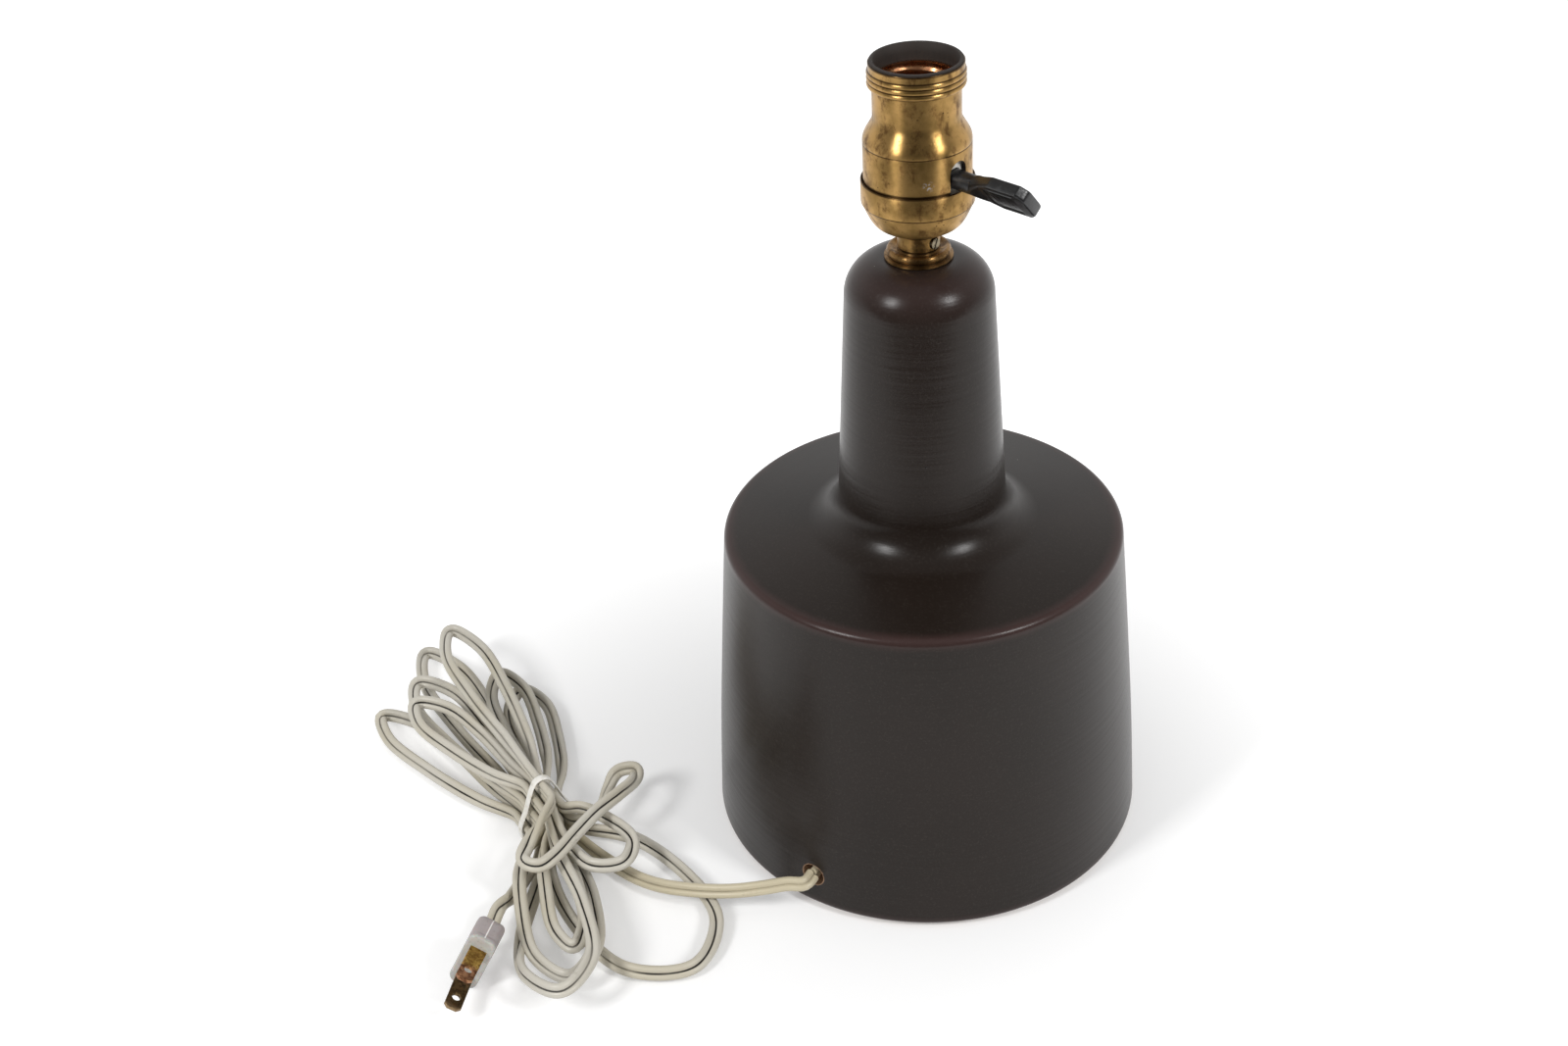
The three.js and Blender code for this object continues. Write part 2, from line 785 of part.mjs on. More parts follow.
// Centre contact: a sprung leaf on a post through the block
function makeContact() {
  const leafZ = blockTop + screwWall + seatGap * 3;
  const leaf = new THREE.Shape([
    new THREE.Vector2(-contactLength / 2, 0),
    new THREE.Vector2(contactLength / 6, 0),
    new THREE.Vector2(contactLength / 2, contactRise),
    new THREE.Vector2(contactLength / 2, contactRise + contactThickness),
    new THREE.Vector2(contactLength / 6 - contactThickness, contactThickness),
    new THREE.Vector2(-contactLength / 2, contactThickness),
  ]);
  const strip = new THREE.ExtrudeGeometry(leaf, { depth: contactWidth, bevelEnabled: false });
  strip.translate(0, 0, -contactWidth / 2);
  strip.rotateX(Math.PI / 2);
  strip.scale(contactSpanShare, contactSpanShare, 1);
  strip.translate(0, 0, leafZ);
  const post = new THREE.CylinderGeometry(
    contactPostRadius,
    contactPostRadius,
    leafZ + contactThickness / 2 - (blockZ + pocketDepth),
    smallSides / 2,
  );
  post.rotateX(Math.PI / 2);
  post.translate(0, 0, (leafZ + contactThickness / 2 + blockZ + pocketDepth) / 2);
  place("centre_contact", atAngle(join(strip, post), keyAngle), springBronze);
}

// Leaf spring that the cam lifts, under the post
function makeSpring() {
  const top = blockZ + pocketDepth - seatGap;
  const strip = block(springWidth, springLength, top - springThickness, top);
  place("contact_spring", atAngle(strip, keyAngle), springBronze);
}

// Turn key: the shaft and its cam, and the moulded key on its end
function makeRotor() {
  const rotor = new THREE.Group();
  rotor.position.set(0, 0, keyHeight);
  rotor.rotation.z = radians(keyAngle);
  lamp.add(rotor);
  const shaftEnd = keyStemStart + keyShaftInKey;
  const shaft = radialBar(keyShaftRadius, -keyShaftTail, shaftEnd, 0, 0, smallSides / 2);
  place("key_shaft", shaft, steel, rotor);
  const outline = new THREE.Shape();
  const half = camWidth / 2 - camCorner;
  outline.absarc(half, half, camCorner, 0, Math.PI / 2);
  outline.absarc(-half, half, camCorner, Math.PI / 2, Math.PI);
  outline.absarc(-half, -half, camCorner, Math.PI, Math.PI * 3 / 2);
  outline.absarc(half, -half, camCorner, Math.PI * 3 / 2, Math.PI * 2);
  const cam = new THREE.ExtrudeGeometry(outline, {
    depth: camLength,
    bevelEnabled: false,
    curveSegments: beadArcSteps,
  });
  cam.translate(0, 0, -camLength / 2);
  cam.rotateX(Math.PI / 2);
  const bore = radialBar(keyShaftRadius + seatGap, -camLength, camLength, 0, 0, smallSides / 2);
  place("switch_cam", cut(cam, bore), darkPlastic, rotor);
  const key = place("switch_key", keyShape(), darkPlastic, rotor);
  key.rotation.y = radians(keyRoll);
}

function keyShape() {
  const stem = radialBar(keyStemRadius, keyStemStart, keyPaddleStart + keyPaddleThickness, 0, 0);
  const half = keyPaddleWidth / 2;
  const start = keyPaddleStart - keyPaddleThickness / 2;
  const length = keyReach - start;
  const outline = new THREE.Shape([
    new THREE.Vector2(-keyStemRadius, 0),
    new THREE.Vector2(keyStemRadius, 0),
    new THREE.Vector2(half, length * paddleFlareShare),
    new THREE.Vector2(half, length - half * paddleCornerShare),
    new THREE.Vector2(half * (1 - paddleCornerShare), length),
    new THREE.Vector2(half * (paddleCornerShare - 1), length),
    new THREE.Vector2(-half, length - half * paddleCornerShare),
    new THREE.Vector2(-half, length * paddleFlareShare),
  ]);
  const paddle = new THREE.ExtrudeGeometry(outline, {
    depth: keyPaddleThickness - keyBevel * 2,
    bevelThickness: keyBevel,
    bevelSize: keyBevel,
    bevelOffset: -keyBevel,
    bevelSegments: 1,
  });
  paddle.translate(0, 0, keyBevel - keyPaddleThickness / 2);
  paddle.rotateZ(Math.PI);
  paddle.rotateX(radians(keyPaddleDroop));
  paddle.translate(0, -start, 0);
  const bore = radialBar(
    keyShaftRadius + seatGap,
    keyStemStart - cutOverrun,
    keyStemStart + keyShaftInKey + seatGap,
    0,
    0,
    smallSides / 2,
  );
  return cut(join(stem, paddle), bore);
}

// Cord section: two round cores side by side, as an eight-sided outline with its width along X
function cordSection() {
  const half = cordThickness / 2;
  const straight = cordWidth / 2 - half;
  const corner = half * Math.SQRT1_2;
  return new THREE.Shape([
    new THREE.Vector2(straight + half, 0),
    new THREE.Vector2(straight + corner, corner),
    new THREE.Vector2(0, half),
    new THREE.Vector2(-straight - corner, corner),
    new THREE.Vector2(-straight - half, 0),
    new THREE.Vector2(-straight - corner, -corner),
    new THREE.Vector2(0, -half),
    new THREE.Vector2(straight + corner, -corner),
  ]);
}

function smoothRoute(points) {
  const places = points.map((point) => new THREE.Vector3(...point));
  return new THREE.CatmullRomCurve3(places, false, "centripetal");
}

function along(section, points, steps) {
  const extrudePath = smoothRoute(points);
  return bare(new THREE.ExtrudeGeometry(section, { steps, extrudePath, bevelEnabled: false }));
}

// The cord inside the lamp: through the hole in the foot, across the recess and up the pipe
function makeInnerCord() {
  const low = pipeTail - bushingLip;
  const top = bowlZ + pipeInCap + wireStripRise;
  const inward = (radius, height) => [holeX * radius, holeY * radius, height];
  place("cord_inside", along(cordSection(), [
    inward(holeMouth, holeZ),
    inward(footRadius * recessRunShares[0], holeZ),
    inward(footRadius * recessRunShares[1], holeZ - recessSag),
    inward(footRadius * recessRunShares[2], holeZ - recessSag),
    inward(footRadius * recessRunShares[3], (holeZ + low) / 2 - recessSag / 2),
    [0, 0, low],
    [0, 0, low + cordWidth],
    [0, 0, (low + top) / 2],
    [0, 0, top],
  ], innerCordSteps), cordJacket);
}

function makeWires() {
  const start = bowlZ + pipeInCap + wireStripRise + cordGap;
  const core = (cordWidth - cordThickness) / 2;
  const section = new THREE.Shape();
  section.absarc(0, 0, cordThickness / 2 - wireSkin, 0, Math.PI * 2);
  const end = blockZ + terminalHeight - terminalHeadRadius - cordThickness / 2;
  const reach = terminalFlat + cordThickness / 2 + seatGap;
  for (const [name, side] of [["wire_line", 1], ["wire_neutral", -1]]) {
    const angle = radians(keyAngle + side * 90);
    const points = [
      [core, start],
      [core, start + wireStripRise],
      [(core + reach) / 2, (start + end) / 2],
      [reach, end - wireStripRise],
      [reach, end],
    ].map(([radius, height]) => [Math.sin(angle) * radius, -Math.cos(angle) * radius, height]);
    const geometry = new THREE.ExtrudeGeometry(section, {
      steps: arcSteps + arcSteps,
      extrudePath: smoothRoute(points),
      bevelEnabled: false,
      curveSegments: 2,
    });
    place(name, bare(geometry), name === "wire_line" ? darkPlastic : cordJacket);
  }
}

// Hank: strands pass the tie side by side in rows, and swing out in petals at both ends of it.
// A cell is [column, row] of a strand in the tie. A petal's turn is in degrees off the hank's line,
// towards its right, reach is how far its tip lies from the waist, and width is its width across.
// The shares give its seven points: how far out each lies, how wide the petal is there, and how
// much of the way from its first strand's height to its last strand's it has climbed.
const upward = 1;
const downward = -1;
const leftFirst = -1;
const rightFirst = 1;
const reachShares = [0.28, 0.58, 0.86, 1, 0.86, 0.58, 0.28];
const slimShares = [0.38, 0.84, 0.86, 0, 0.86, 0.84, 0.38];
const roundShares = [0.62, 0.95, 0.84, 0, 0.84, 0.95, 0.62];
const fallingShares = [0.38, 0.84, 0.86, 0, 0.86, 0.78, -0.1];
const evenClimbShares = [0.1, 0.2, 0.35, 0.5, 0.65, 0.8, 0.9];
const earlyClimbShares = [0.1, 1, 1, 1, 1, 1, 1];
const lateClimbShares = [0, 0, 0, 0, 0.3, 0.96, 1];
const passShares = [-1, -0.7, 0.7, 1];
const slim = { swell: slimShares, climb: evenClimbShares };
const round = { swell: roundShares, climb: evenClimbShares };
const climbing = { swell: roundShares, climb: earlyClimbShares };
const falling = { swell: fallingShares, climb: lateClimbShares };
const petals = [
  {
    from: [1.5, 0], to: [2.5, 0],
    way: upward, turn: 18, reach: 86, width: 17, side: leftFirst, form: slim,
  },
  {
    from: [2.5, 0], to: [-0.5, 0],
    way: downward, turn: 6.5, reach: 101, width: 45, side: rightFirst, form: round,
  },
  {
    from: [-0.5, 0], to: [0.5, 0],
    way: upward, turn: 1, reach: 130, width: 19, side: leftFirst, form: slim,
  },
  {
    from: [0.5, 0], to: [-1.5, 1],
    way: downward, turn: -19.5, reach: 91, width: 25, side: rightFirst, form: climbing,
  },
  {
    from: [-1.5, 1], to: [-0.5, 1],
    way: upward, turn: -6, reach: 105, width: 19, side: leftFirst, form: slim,
  },
  {
    from: [-0.5, 1], to: [0.5, 1],
    way: downward, turn: -17.4, reach: 77, width: 12.4, side: leftFirst, form: slim,
  },
  {
    from: [0.5, 1], to: [1.5, 1],
    way: upward, turn: 13, reach: 92, width: 15, side: leftFirst, form: slim,
  },
  { from: [1.5, 1], to: [0, 3], way: downward },
  {
    from: [0, 3], to: [1, 2],
    way: upward, turn: 5.5, reach: 119, width: 17, side: leftFirst, form: slim,
  },
  {
    from: [1, 2], to: [0, 2],
    way: downward, turn: 11, reach: 51, width: 22, side: rightFirst, form: slim,
  },
  {
    from: [0, 2], to: [-1, 2],
    way: upward, turn: -13, reach: 86, width: 16, side: rightFirst, form: slim,
  },
  {
    from: [-1, 2], to: [-1.5, 0],
    way: downward, turn: -21.5, reach: 103, width: 28, side: rightFirst, form: falling,
  },
  {
    from: [-1.5, 0], to: [-2.5, 0],
    way: upward, turn: -17, reach: 104, width: 16, side: rightFirst, form: slim,
  },
];

// The one turn that lies across the others, as [along the hank, to its right, height] points
const crossingTurn = [
  [-14, 9, 10.8],
  [-13, 17, 11.5],
  [-6, 25, 13.5],
  [-1, 32, 15.5],
  [-5, 38, 17],
  [-13, 34, 19],
  [-20, 24, 22],
  [-26, 12, 23.8],
  [-33, -1, 24],
  [-39, -12, 23.6],
  [-41, -20, 23.4],
  [-35, -24, 23.4],
  [-26, -17, 23.4],
  [-17, -7, 23.4],
];

// How the last strand turns off to the left, past the tie: [along the hank, to its left]
const tailTurn = [[4, 1.2], [9, 5.6], [13, 10]];

function strandHeight(row) {
  return lowestStrandZ + rowPitch * row;
}

function petalPoints(petal) {
  const { from, to, way, turn, reach, width, side, form } = petal;
  if (!form) return crossingTurn;
  const angle = radians(turn);
  return reachShares.map((share, k) => {
    const goingOut = k < reachShares.length / 2;
    const cell = goingOut ? from : to;
    const sideways = (goingOut ? side : -side) * form.swell[k] * (width / 2);
    const along = reach * share * Math.cos(angle) - Math.sin(angle) * sideways;
    const across = reach * share * Math.sin(angle) + Math.cos(angle) * sideways;
    return [
      way * along,
      across + cell[0] * strandPitch * (1 - share),
      THREE.MathUtils.lerp(strandHeight(from[1]), strandHeight(to[1]), form.climb[k]),
    ];
  });
}

function hankPoint([along, across, height]) {
  const angle = radians(hankTurn);
  return [
    hankX + along * Math.cos(angle) + across * Math.sin(angle),
    hankY + along * Math.sin(angle) - across * Math.cos(angle),
    height,
  ];
}

function hankRoute() {
  const points = [];
  const pass = ([column, row], way) => {
    for (const share of passShares) {
      points.push([way * waistHalf * share, column * strandPitch, strandHeight(row)]);
    }
  };
  const first = petals[0].from;
  const last = petals[petals.length - 1].to;
  points.push([-waistHalf - strandEnd, first[0] * strandPitch, strandHeight(first[1])]);
  for (const petal of petals) {
    pass(petal.from, petal.way);
    points.push(...petalPoints(petal));
  }
  pass(last, downward);
  for (const [along, across] of tailTurn) {
    points.push([-waistHalf - along, last[0] * strandPitch - across, strandHeight(last[1])]);
  }
  return smoothRoute(points.map(hankPoint));
}

// The flat cord on edge along the hank's route, six-sided, as one tube
function hankTube(route) {
  const steps = stepsPerPetal * petals.length;
  const half = cordThickness / 2;
  const straight = cordWidth / 2 - half;
  const section = [
    [0, straight + half],
    [half, straight],
    [half, -straight],
    [0, -straight - half],
    [-half, -straight],
    [-half, straight],
  ];
  const positions = [];
  const faces = [];
  const centres = [];
  const upright = new THREE.Vector3(0, 0, 1);
  for (let step = 0; step <= steps; step += 1) {
    const centre = route.getPoint(step / steps);
    const tangent = route.getTangent(step / steps);
    const sideways = tangent.clone().cross(upright).normalize();
    const up = sideways.clone().cross(tangent).normalize();
    centres.push({ centre, up });
    for (const [x, y] of section) {
      const corner = centre.clone().addScaledVector(sideways, x).addScaledVector(up, y);
      positions.push(corner.x, corner.y, corner.z);
    }
  }
  const count = section.length;
  for (let step = 0; step < steps; step += 1) {
    for (let k = 0; k < count; k += 1) {
      const here = step * count + k;
      const next = step * count + ((k + 1) % count);
      faces.push(here, next, next + count, here, next + count, here + count);
    }
  }
  for (let k = 1; k < count - 1; k += 1) {
    faces.push(0, k + 1, k);
    faces.push(steps * count, steps * count + k, steps * count + k + 1);
  }
  const geometry = new THREE.BufferGeometry();
  geometry.setAttribute("position", new THREE.Float32BufferAttribute(positions, 3));
  geometry.setIndex(faces);
  return { geometry: facing(geometry), centres, straight };
}

// Least gap of the cord to itself, between the lines through its two cores
function leastGap(rings, straight) {
  const cores = [];
  rings.forEach(({ centre, up }, ring) => {
    for (const side of [1, -1]) {
      cores.push({ ring, point: centre.clone().addScaledVector(up, side * straight) });
    }
  });
  let least = Infinity;
  let where = [];
  for (const a of cores) {
    for (const b of cores) {
      if (b.ring - a.ring < neighbourRings) continue;
      const gap = a.point.distanceTo(b.point) - cordThickness;
      if (gap < least) {
        least = gap;
        where = [a.ring, b.ring];
      }
    }
  }
  return { least, where };
}

const route = hankRoute();

// A point of the cord past one end of the hank: t is 0 at its start and 1 at its end.
function pastHank(t, distance) {
  const way = t === 0 ? -1 : 1;
  return route.getPoint(t).addScaledVector(route.getTangent(t), way * distance).toArray();
}

function makeHank() {
  const { geometry, centres, straight } = hankTube(route);
  place("cord_hank", geometry, cordJacket);
  const { least, where } = leastGap(centres, straight);
  console.log("hank length", route.getLength().toFixed(0));
  console.log("least gap of the hank to itself", least.toFixed(2), "at rings", where);
}

// The cord's two free lengths: from the hole in the foot to the hank, and from the hank to the plug
function makeLead() {
  const mouth = holeMouth + cordGap;
  const straight = mouth + cordWidth;
  place("cord_lead", along(cordSection(), [
    [holeX * mouth, holeY * mouth, holeZ],
    [holeX * straight, holeY * straight, holeZ],
    ...leadRoute,
    pastHank(0, cordGap + cordWidth),
    pastHank(0, cordGap),
  ], leadSteps), cordJacket);
}

function makeTail() {
  const turn = radians(plugTurn);
  const behind = (distance) => [
    plugX - Math.sin(turn) * distance,
    plugY + Math.cos(turn) * distance,
    plugHeight,
  ];
  place("cord_tail", along(cordSection(), [
    pastHank(1, cordGap),
    pastHank(1, cordGap + cordWidth),
    ...tailRoute,
    behind(cordGap + cordWidth),
    behind(cordGap),
  ], tailSteps), cordJacket);
}

// Tie: a flat band bent round the rows of strands, as wide at each row as its strands need
function makeTie() {
  const cells = petals.flatMap(({ from, to }) => [from, to]);
  const rows = Math.max(...cells.map(([, row]) => row));
  const halfWidth = (row) => {
    const columns = cells.filter((cell) => cell[1] === row).map(([column]) => Math.abs(column));
    return Math.max(...columns) * strandPitch + cordThickness / 2 + cordGap;
  };
  const low = tieZ + tieThickness;
  const high = strandHeight(rows) + cordWidth / 2 + cordGap;
  const right = [
    [halfWidth(0) - tieCorner, low],
    [halfWidth(0), low + tieCorner],
    [halfWidth(0), strandHeight(0) + cordWidth / 2],
    [halfWidth(1), strandHeight(1)],
    [halfWidth(1), strandHeight(1) + cordWidth / 2],
    [halfWidth(2), strandHeight(2) + cordWidth / 2],
    [halfWidth(rows) + tieTopSpread, strandHeight(rows) + cordWidth / 2 - cordThickness / 2],
    [halfWidth(rows), high],
  ];
  const left = right.map(([across, height]) => [-across, height]).reverse();
  const inside = [...right, ...left];
  const middle = (low + high) / 2;
  const outside = inside.map(([across, height]) => {
    const flat = Math.abs(across) < halfWidth(0) - tieCorner / 2;
    const out = height < middle ? -tieThickness : tieThickness;
    const grown = height === low || height === high ? out : 0;
    return [across + Math.sign(across) * (flat && grown ? 0 : tieThickness), height + grown];
  });
  const band = new THREE.Shape(outside.map(([across, height]) => new THREE.Vector2(across, height)));
  band.holes.push(new THREE.Path(inside.map(([across, height]) => new THREE.Vector2(across, height))));
  const tie = new THREE.ExtrudeGeometry(band, { depth: tieWidth, bevelEnabled: false });
  tie.translate(0, 0, -tieWidth / 2);
  tie.rotateX(Math.PI / 2);
  tie.rotateZ(radians(hankTurn - 90));
  tie.translate(hankX, hankY, 0);
  place("hank_tie", bare(tie), whiteTie);
}

// Plug: a grip, a housing with the blades in open channels, and two folded blades. It is built
// pointing along -Y, with its cord end at the origin and the blades one above the other.
function roundedBar(width, height, rounding, from, to) {
  const shape = new THREE.Shape();
  const x = width / 2 - rounding;
  const y = height / 2 - rounding;
  shape.absarc(x, y, rounding, 0, Math.PI / 2);
  shape.absarc(-x, y, rounding, Math.PI / 2, Math.PI);
  shape.absarc(-x, -y, rounding, Math.PI, Math.PI * 3 / 2);
  shape.absarc(x, -y, rounding, Math.PI * 3 / 2, Math.PI * 2);
  const bar = new THREE.ExtrudeGeometry(shape, {
    depth: to - from,
    bevelEnabled: false,
    curveSegments: beadArcSteps,
  });
  bar.rotateX(Math.PI / 2);
  bar.translate(0, -from, 0);
  return bar;
}

// The grip's outline has broad shoulders at its cord end, and its long edges are rounded
function gripShape() {
  const half = gripHeight / 2;
  const outline = new THREE.Shape();
  outline.absarc(half - gripShoulder, gripShoulder, gripShoulder, -Math.PI / 2, 0);
  outline.lineTo(half, gripLength);
  outline.lineTo(-half, gripLength);
  outline.absarc(gripShoulder - half, gripShoulder, gripShoulder, Math.PI, Math.PI * 3 / 2);
  const grip = new THREE.ExtrudeGeometry(outline, {
    depth: gripWidth - gripRounding * 2,
    bevelThickness: gripRounding,
    bevelSize: gripRounding,
    bevelOffset: -gripRounding,
    bevelSegments: shortArcSteps,
    curveSegments: arcSteps,
  });
  grip.translate(0, 0, gripRounding - gripWidth / 2);
  const up = new THREE.Vector3(0, 0, 1);
  const forward = new THREE.Vector3(0, -1, 0);
  const across = new THREE.Vector3(1, 0, 0);
  return grip.applyMatrix4(new THREE.Matrix4().makeBasis(up, forward, across));
}

function makePlug() {
  const plug = new THREE.Group();
  plug.position.set(plugX, plugY, plugHeight);
  plug.rotation.z = radians(plugTurn);
  lamp.add(plug);
  const housingHeight = bladeSpacing + bladeThickness + bladeLand * 2;
  const housingFrom = gripLength + seatGap;
  const housingTo = housingFrom + housingLength;
  place("plug_grip", bare(gripShape()), mauvePlastic, plug);
  const channels = [1, -1].map((side) => {
    const depth = bladeThickness + bladeLand + seatGap;
    const channel = new THREE.BoxGeometry(bladeWidth + seatGap * 2, housingLength * 2, depth * 2);
    channel.translate(0, -housingFrom - housingLength, side * (housingHeight / 2));
    return channel;
  });
  const housing = roundedBar(housingWidth, housingHeight, housingRounding, housingFrom, housingTo);
  place("plug_housing", cut(housing, ...channels), milkyPlastic, plug);
  for (const [name, side] of [["plug_blade_upper", 1], ["plug_blade_lower", -1]]) {
    const length = housingLength + bladeReach;
    const half = bladeWidth / 2;
    const shape = new THREE.Shape([
      new THREE.Vector2(-half, 0),
      new THREE.Vector2(half, 0),
      new THREE.Vector2(half, length - bladeChamfer),
      new THREE.Vector2(half - bladeChamfer, length),
      new THREE.Vector2(bladeChamfer - half, length),
      new THREE.Vector2(-half, length - bladeChamfer),
    ]);
    for (const along of [length - bladeHoleInset, housingLength - bladeRootHoleInset]) {
      const hole = new THREE.Path();
      hole.absarc(0, along, bladeHoleRadius, 0, Math.PI * 2);
      shape.holes.push(hole);
    }
    const blade = new THREE.ExtrudeGeometry(shape, {
      depth: bladeThickness,
      bevelEnabled: false,
      curveSegments: arcSteps + arcSteps,
    });
    blade.translate(0, 0, -bladeThickness / 2);
    blade.rotateZ(Math.PI);
    blade.translate(0, -housingFrom - seatGap, side * (bladeSpacing / 2));
    place(name, bare(blade), oldBrass, plug);
  }
}

makeFelt();
makeCeramic();
makePipe();
makeClamp();
makeBushing();
makeNeckRings();
makeCap();
makeSetScrew();
makeCapLiner();
makeShell();
makeSleeve();
makeScrewShell();
makeBlock();
makeTerminals();
makeContact();
makeSpring();
makeRotor();
makeInnerCord();
makeWires();
makeHank();
makeLead();
makeTail();
makeTie();
makePlug();

export default lamp;
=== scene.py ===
# %% [markdown]
# # A ceramic table lamp with its cord tied in a hank
# The lamp is a glazed stoneware bottle. A threaded pipe runs up through it and carries a brass
# lampholder with a turn key, and a flat two-core cord leaves through a hole in the foot.
# An engineering model of it has been packed already, and this lesson dresses that model: it keeps
# every hard measurement and gives each visible piece a finer surface and a real finish.
# Blender works in metres here, but sizes are easier to read in millimetres, so they are written
# that way and multiplied by MM.

# %% Load the model and keep its parts in place
import math

import bmesh
import bpy
from mathutils import Matrix, Vector


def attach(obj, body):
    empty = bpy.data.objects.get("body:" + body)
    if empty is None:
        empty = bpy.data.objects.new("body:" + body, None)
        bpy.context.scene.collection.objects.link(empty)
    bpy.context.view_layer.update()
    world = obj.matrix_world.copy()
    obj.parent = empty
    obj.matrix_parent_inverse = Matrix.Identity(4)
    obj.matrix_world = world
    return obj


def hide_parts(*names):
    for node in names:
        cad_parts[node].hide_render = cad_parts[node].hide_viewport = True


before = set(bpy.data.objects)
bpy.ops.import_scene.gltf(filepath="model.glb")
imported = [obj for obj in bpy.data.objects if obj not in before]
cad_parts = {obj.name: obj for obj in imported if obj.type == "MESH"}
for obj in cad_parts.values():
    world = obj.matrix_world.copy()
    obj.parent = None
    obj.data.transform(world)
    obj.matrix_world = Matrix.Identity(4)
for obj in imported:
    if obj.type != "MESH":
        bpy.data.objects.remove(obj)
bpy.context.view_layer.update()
MM = 0.001

# %% [markdown]
# ## The camera
# The photograph looks down at the lamp from the front, a little from its left. A camera's place and
# three turns fix that view: tilt is how far it looks up from straight down, roll leans it to one
# side, and turn swings it round the vertical. The lens is long enough to keep the bottle's sides
# nearly parallel.

# %% Camera
CAMERA_PLACE = (0, -616.2, 542.0)
CAMERA_TILT = 56.033
CAMERA_ROLL = 2.828
CAMERA_TURN = 2.826
CAMERA_LENS = 46.32


def in_scene(name, data):
    item = bpy.data.objects.new(name, data)
    bpy.context.scene.collection.objects.link(item)
    return item


camera = in_scene("camera", bpy.data.cameras.new("camera"))
camera.data.lens = CAMERA_LENS
camera.location = Vector(CAMERA_PLACE) * MM
camera.rotation_euler = [math.radians(a) for a in (CAMERA_TILT, CAMERA_ROLL, CAMERA_TURN)]
bpy.context.scene.camera = camera
print("camera at", [round(value, 4) for value in camera.location])

# %% [markdown]
# ## Making pieces
# A piece of the scene is a mesh with a finish, and it has to ride on a body of the model, so that
# it moves when a joint does. It can also stand in for nodes of the model, which are then hidden.
# One helper does all of that. Its last step keeps curved faces smooth and real corners sharp,
# by the angle between neighbouring faces.

# %% One helper for every piece
CORNER_ANGLE = 40


def face_outward(mesh):
    faces = bmesh.new()
    faces.from_mesh(mesh)
    bmesh.ops.recalc_face_normals(faces, faces=faces.faces)
    faces.to_mesh(mesh)
    faces.free()
    return mesh


def add_piece(name, mesh, finish, replaces, body="lamp", place=None, corner=CORNER_ANGLE):
    mesh.name = name
    face_outward(mesh)
    mesh.shade_smooth()
    mesh.set_sharp_from_angle(angle=math.radians(corner))
    mesh.materials.clear()
    mesh.materials.append(finish)
    piece = in_scene(name, mesh)
    if place is not None:
        piece.matrix_world = place
    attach(piece, body)
    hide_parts(*replaces)
    print(name, len(mesh.polygons), "faces")
    return piece


# %% [markdown]
# ## Meshes from rings of points
# Nearly every piece here is a row of rings with the same number of points: a cord is its section
# repeated along a line, a turned bottle is its outline repeated round an axis, and a moulded plug
# is a rectangle that changes from station to station. So one helper joins rings. A row of rings
# either has both its ends filled, or its last ring is joined to its first.


# %% Joined rings
def mesh_of(vertices, faces):
    mesh = bpy.data.meshes.new("mesh")
    mesh.from_pydata([Vector(vertex) * MM for vertex in vertices], [], faces)
    mesh.validate()
    return mesh


def joined_rings(rings, closed=False):
    count = len(rings[0])
    last = count * (len(rings) - 1)
    faces = [] if closed else [tuple(range(count)), tuple(range(last, last + count))]
    for k in range(len(rings) if closed else len(rings) - 1):
        here, there = k * count, (k + 1) % len(rings) * count
        for side in range(count):
            after = (side + 1) % count
            faces.append((here + side, here + after, there + after, there + side))
    return face_outward(mesh_of([point for ring in rings for point in ring], faces))


def circle(x, y, radius, sides):
    angles = [2 * math.pi * k / sides for k in range(sides)]
    return [(x + radius * math.cos(a), y + radius * math.sin(a)) for a in angles]


print("mesh helpers ready")

# %% [markdown]
# ## Curves through points
# Both the cord's route and the turned profiles are smooth curves through a few chosen points.
# Between two points the curve is a cubic that leaves and arrives in the direction of its
# neighbours. The knots may be evenly spaced, or spaced by the root of the distance, which keeps
# the curve from looping where points lie close together: that is what a cord needs.


# %% Curve helpers
def span(p1, p2, m1, m2, t):
    """The cubic from p1 to p2 that leaves along m1 and arrives along m2, at a share t."""
    return (
        (2 * p1 - 2 * p2 + m1 + m2) * t**3
        + (3 * p2 - 3 * p1 - 2 * m1 - m2) * t**2
        + m1 * t
        + p1
    )


def profile_curve(points, steps):
    """Even knots, with the end points doubled: steps points for each span."""
    knots = [Vector(point) for point in points]
    ends = [knots[0], *knots, knots[-1]]
    line = []
    for p0, p1, p2, p3 in zip(ends, ends[1:], ends[2:], ends[3:]):
        line += [span(p1, p2, (p2 - p0) / 2, (p3 - p1) / 2, k / steps) for k in range(steps)]
    return [tuple(point) for point in [*line, knots[-1]]]


def cord_curve(points, steps):
    """Knots spaced by the root of the distance: steps points for each span."""
    knots = [Vector(point) for point in points]
    ends = [2 * knots[0] - knots[1], *knots, 2 * knots[-1] - knots[-2]]
    line = []
    for p0, p1, p2, p3 in zip(ends, ends[1:], ends[2:], ends[3:]):
        k0, k1, k2 = [(b - a).length ** 0.5 for a, b in ((p0, p1), (p1, p2), (p2, p3))]
        m1 = ((p1 - p0) / k0 - (p2 - p0) / (k0 + k1) + (p2 - p1) / k1) * k1
        m2 = ((p2 - p1) / k1 - (p3 - p1) / (k1 + k2) + (p3 - p2) / k2) * k1
        line += [span(p1, p2, m1, m2, k / steps) for k in range(steps)]
    return [*line, knots[-1]]


def arc(radius, height, size, start, end, steps):
    """Points round (radius, height) at a distance, from one angle to another in degrees."""
    angles = [math.radians(start + (end - start) * k / steps) for k in range(steps + 1)]
    return [(radius + size * math.cos(a), height + size * math.sin(a)) for a in angles]


def clamped(value):
    """The value, held between 0 and 1."""
    return min(1, max(0, value))


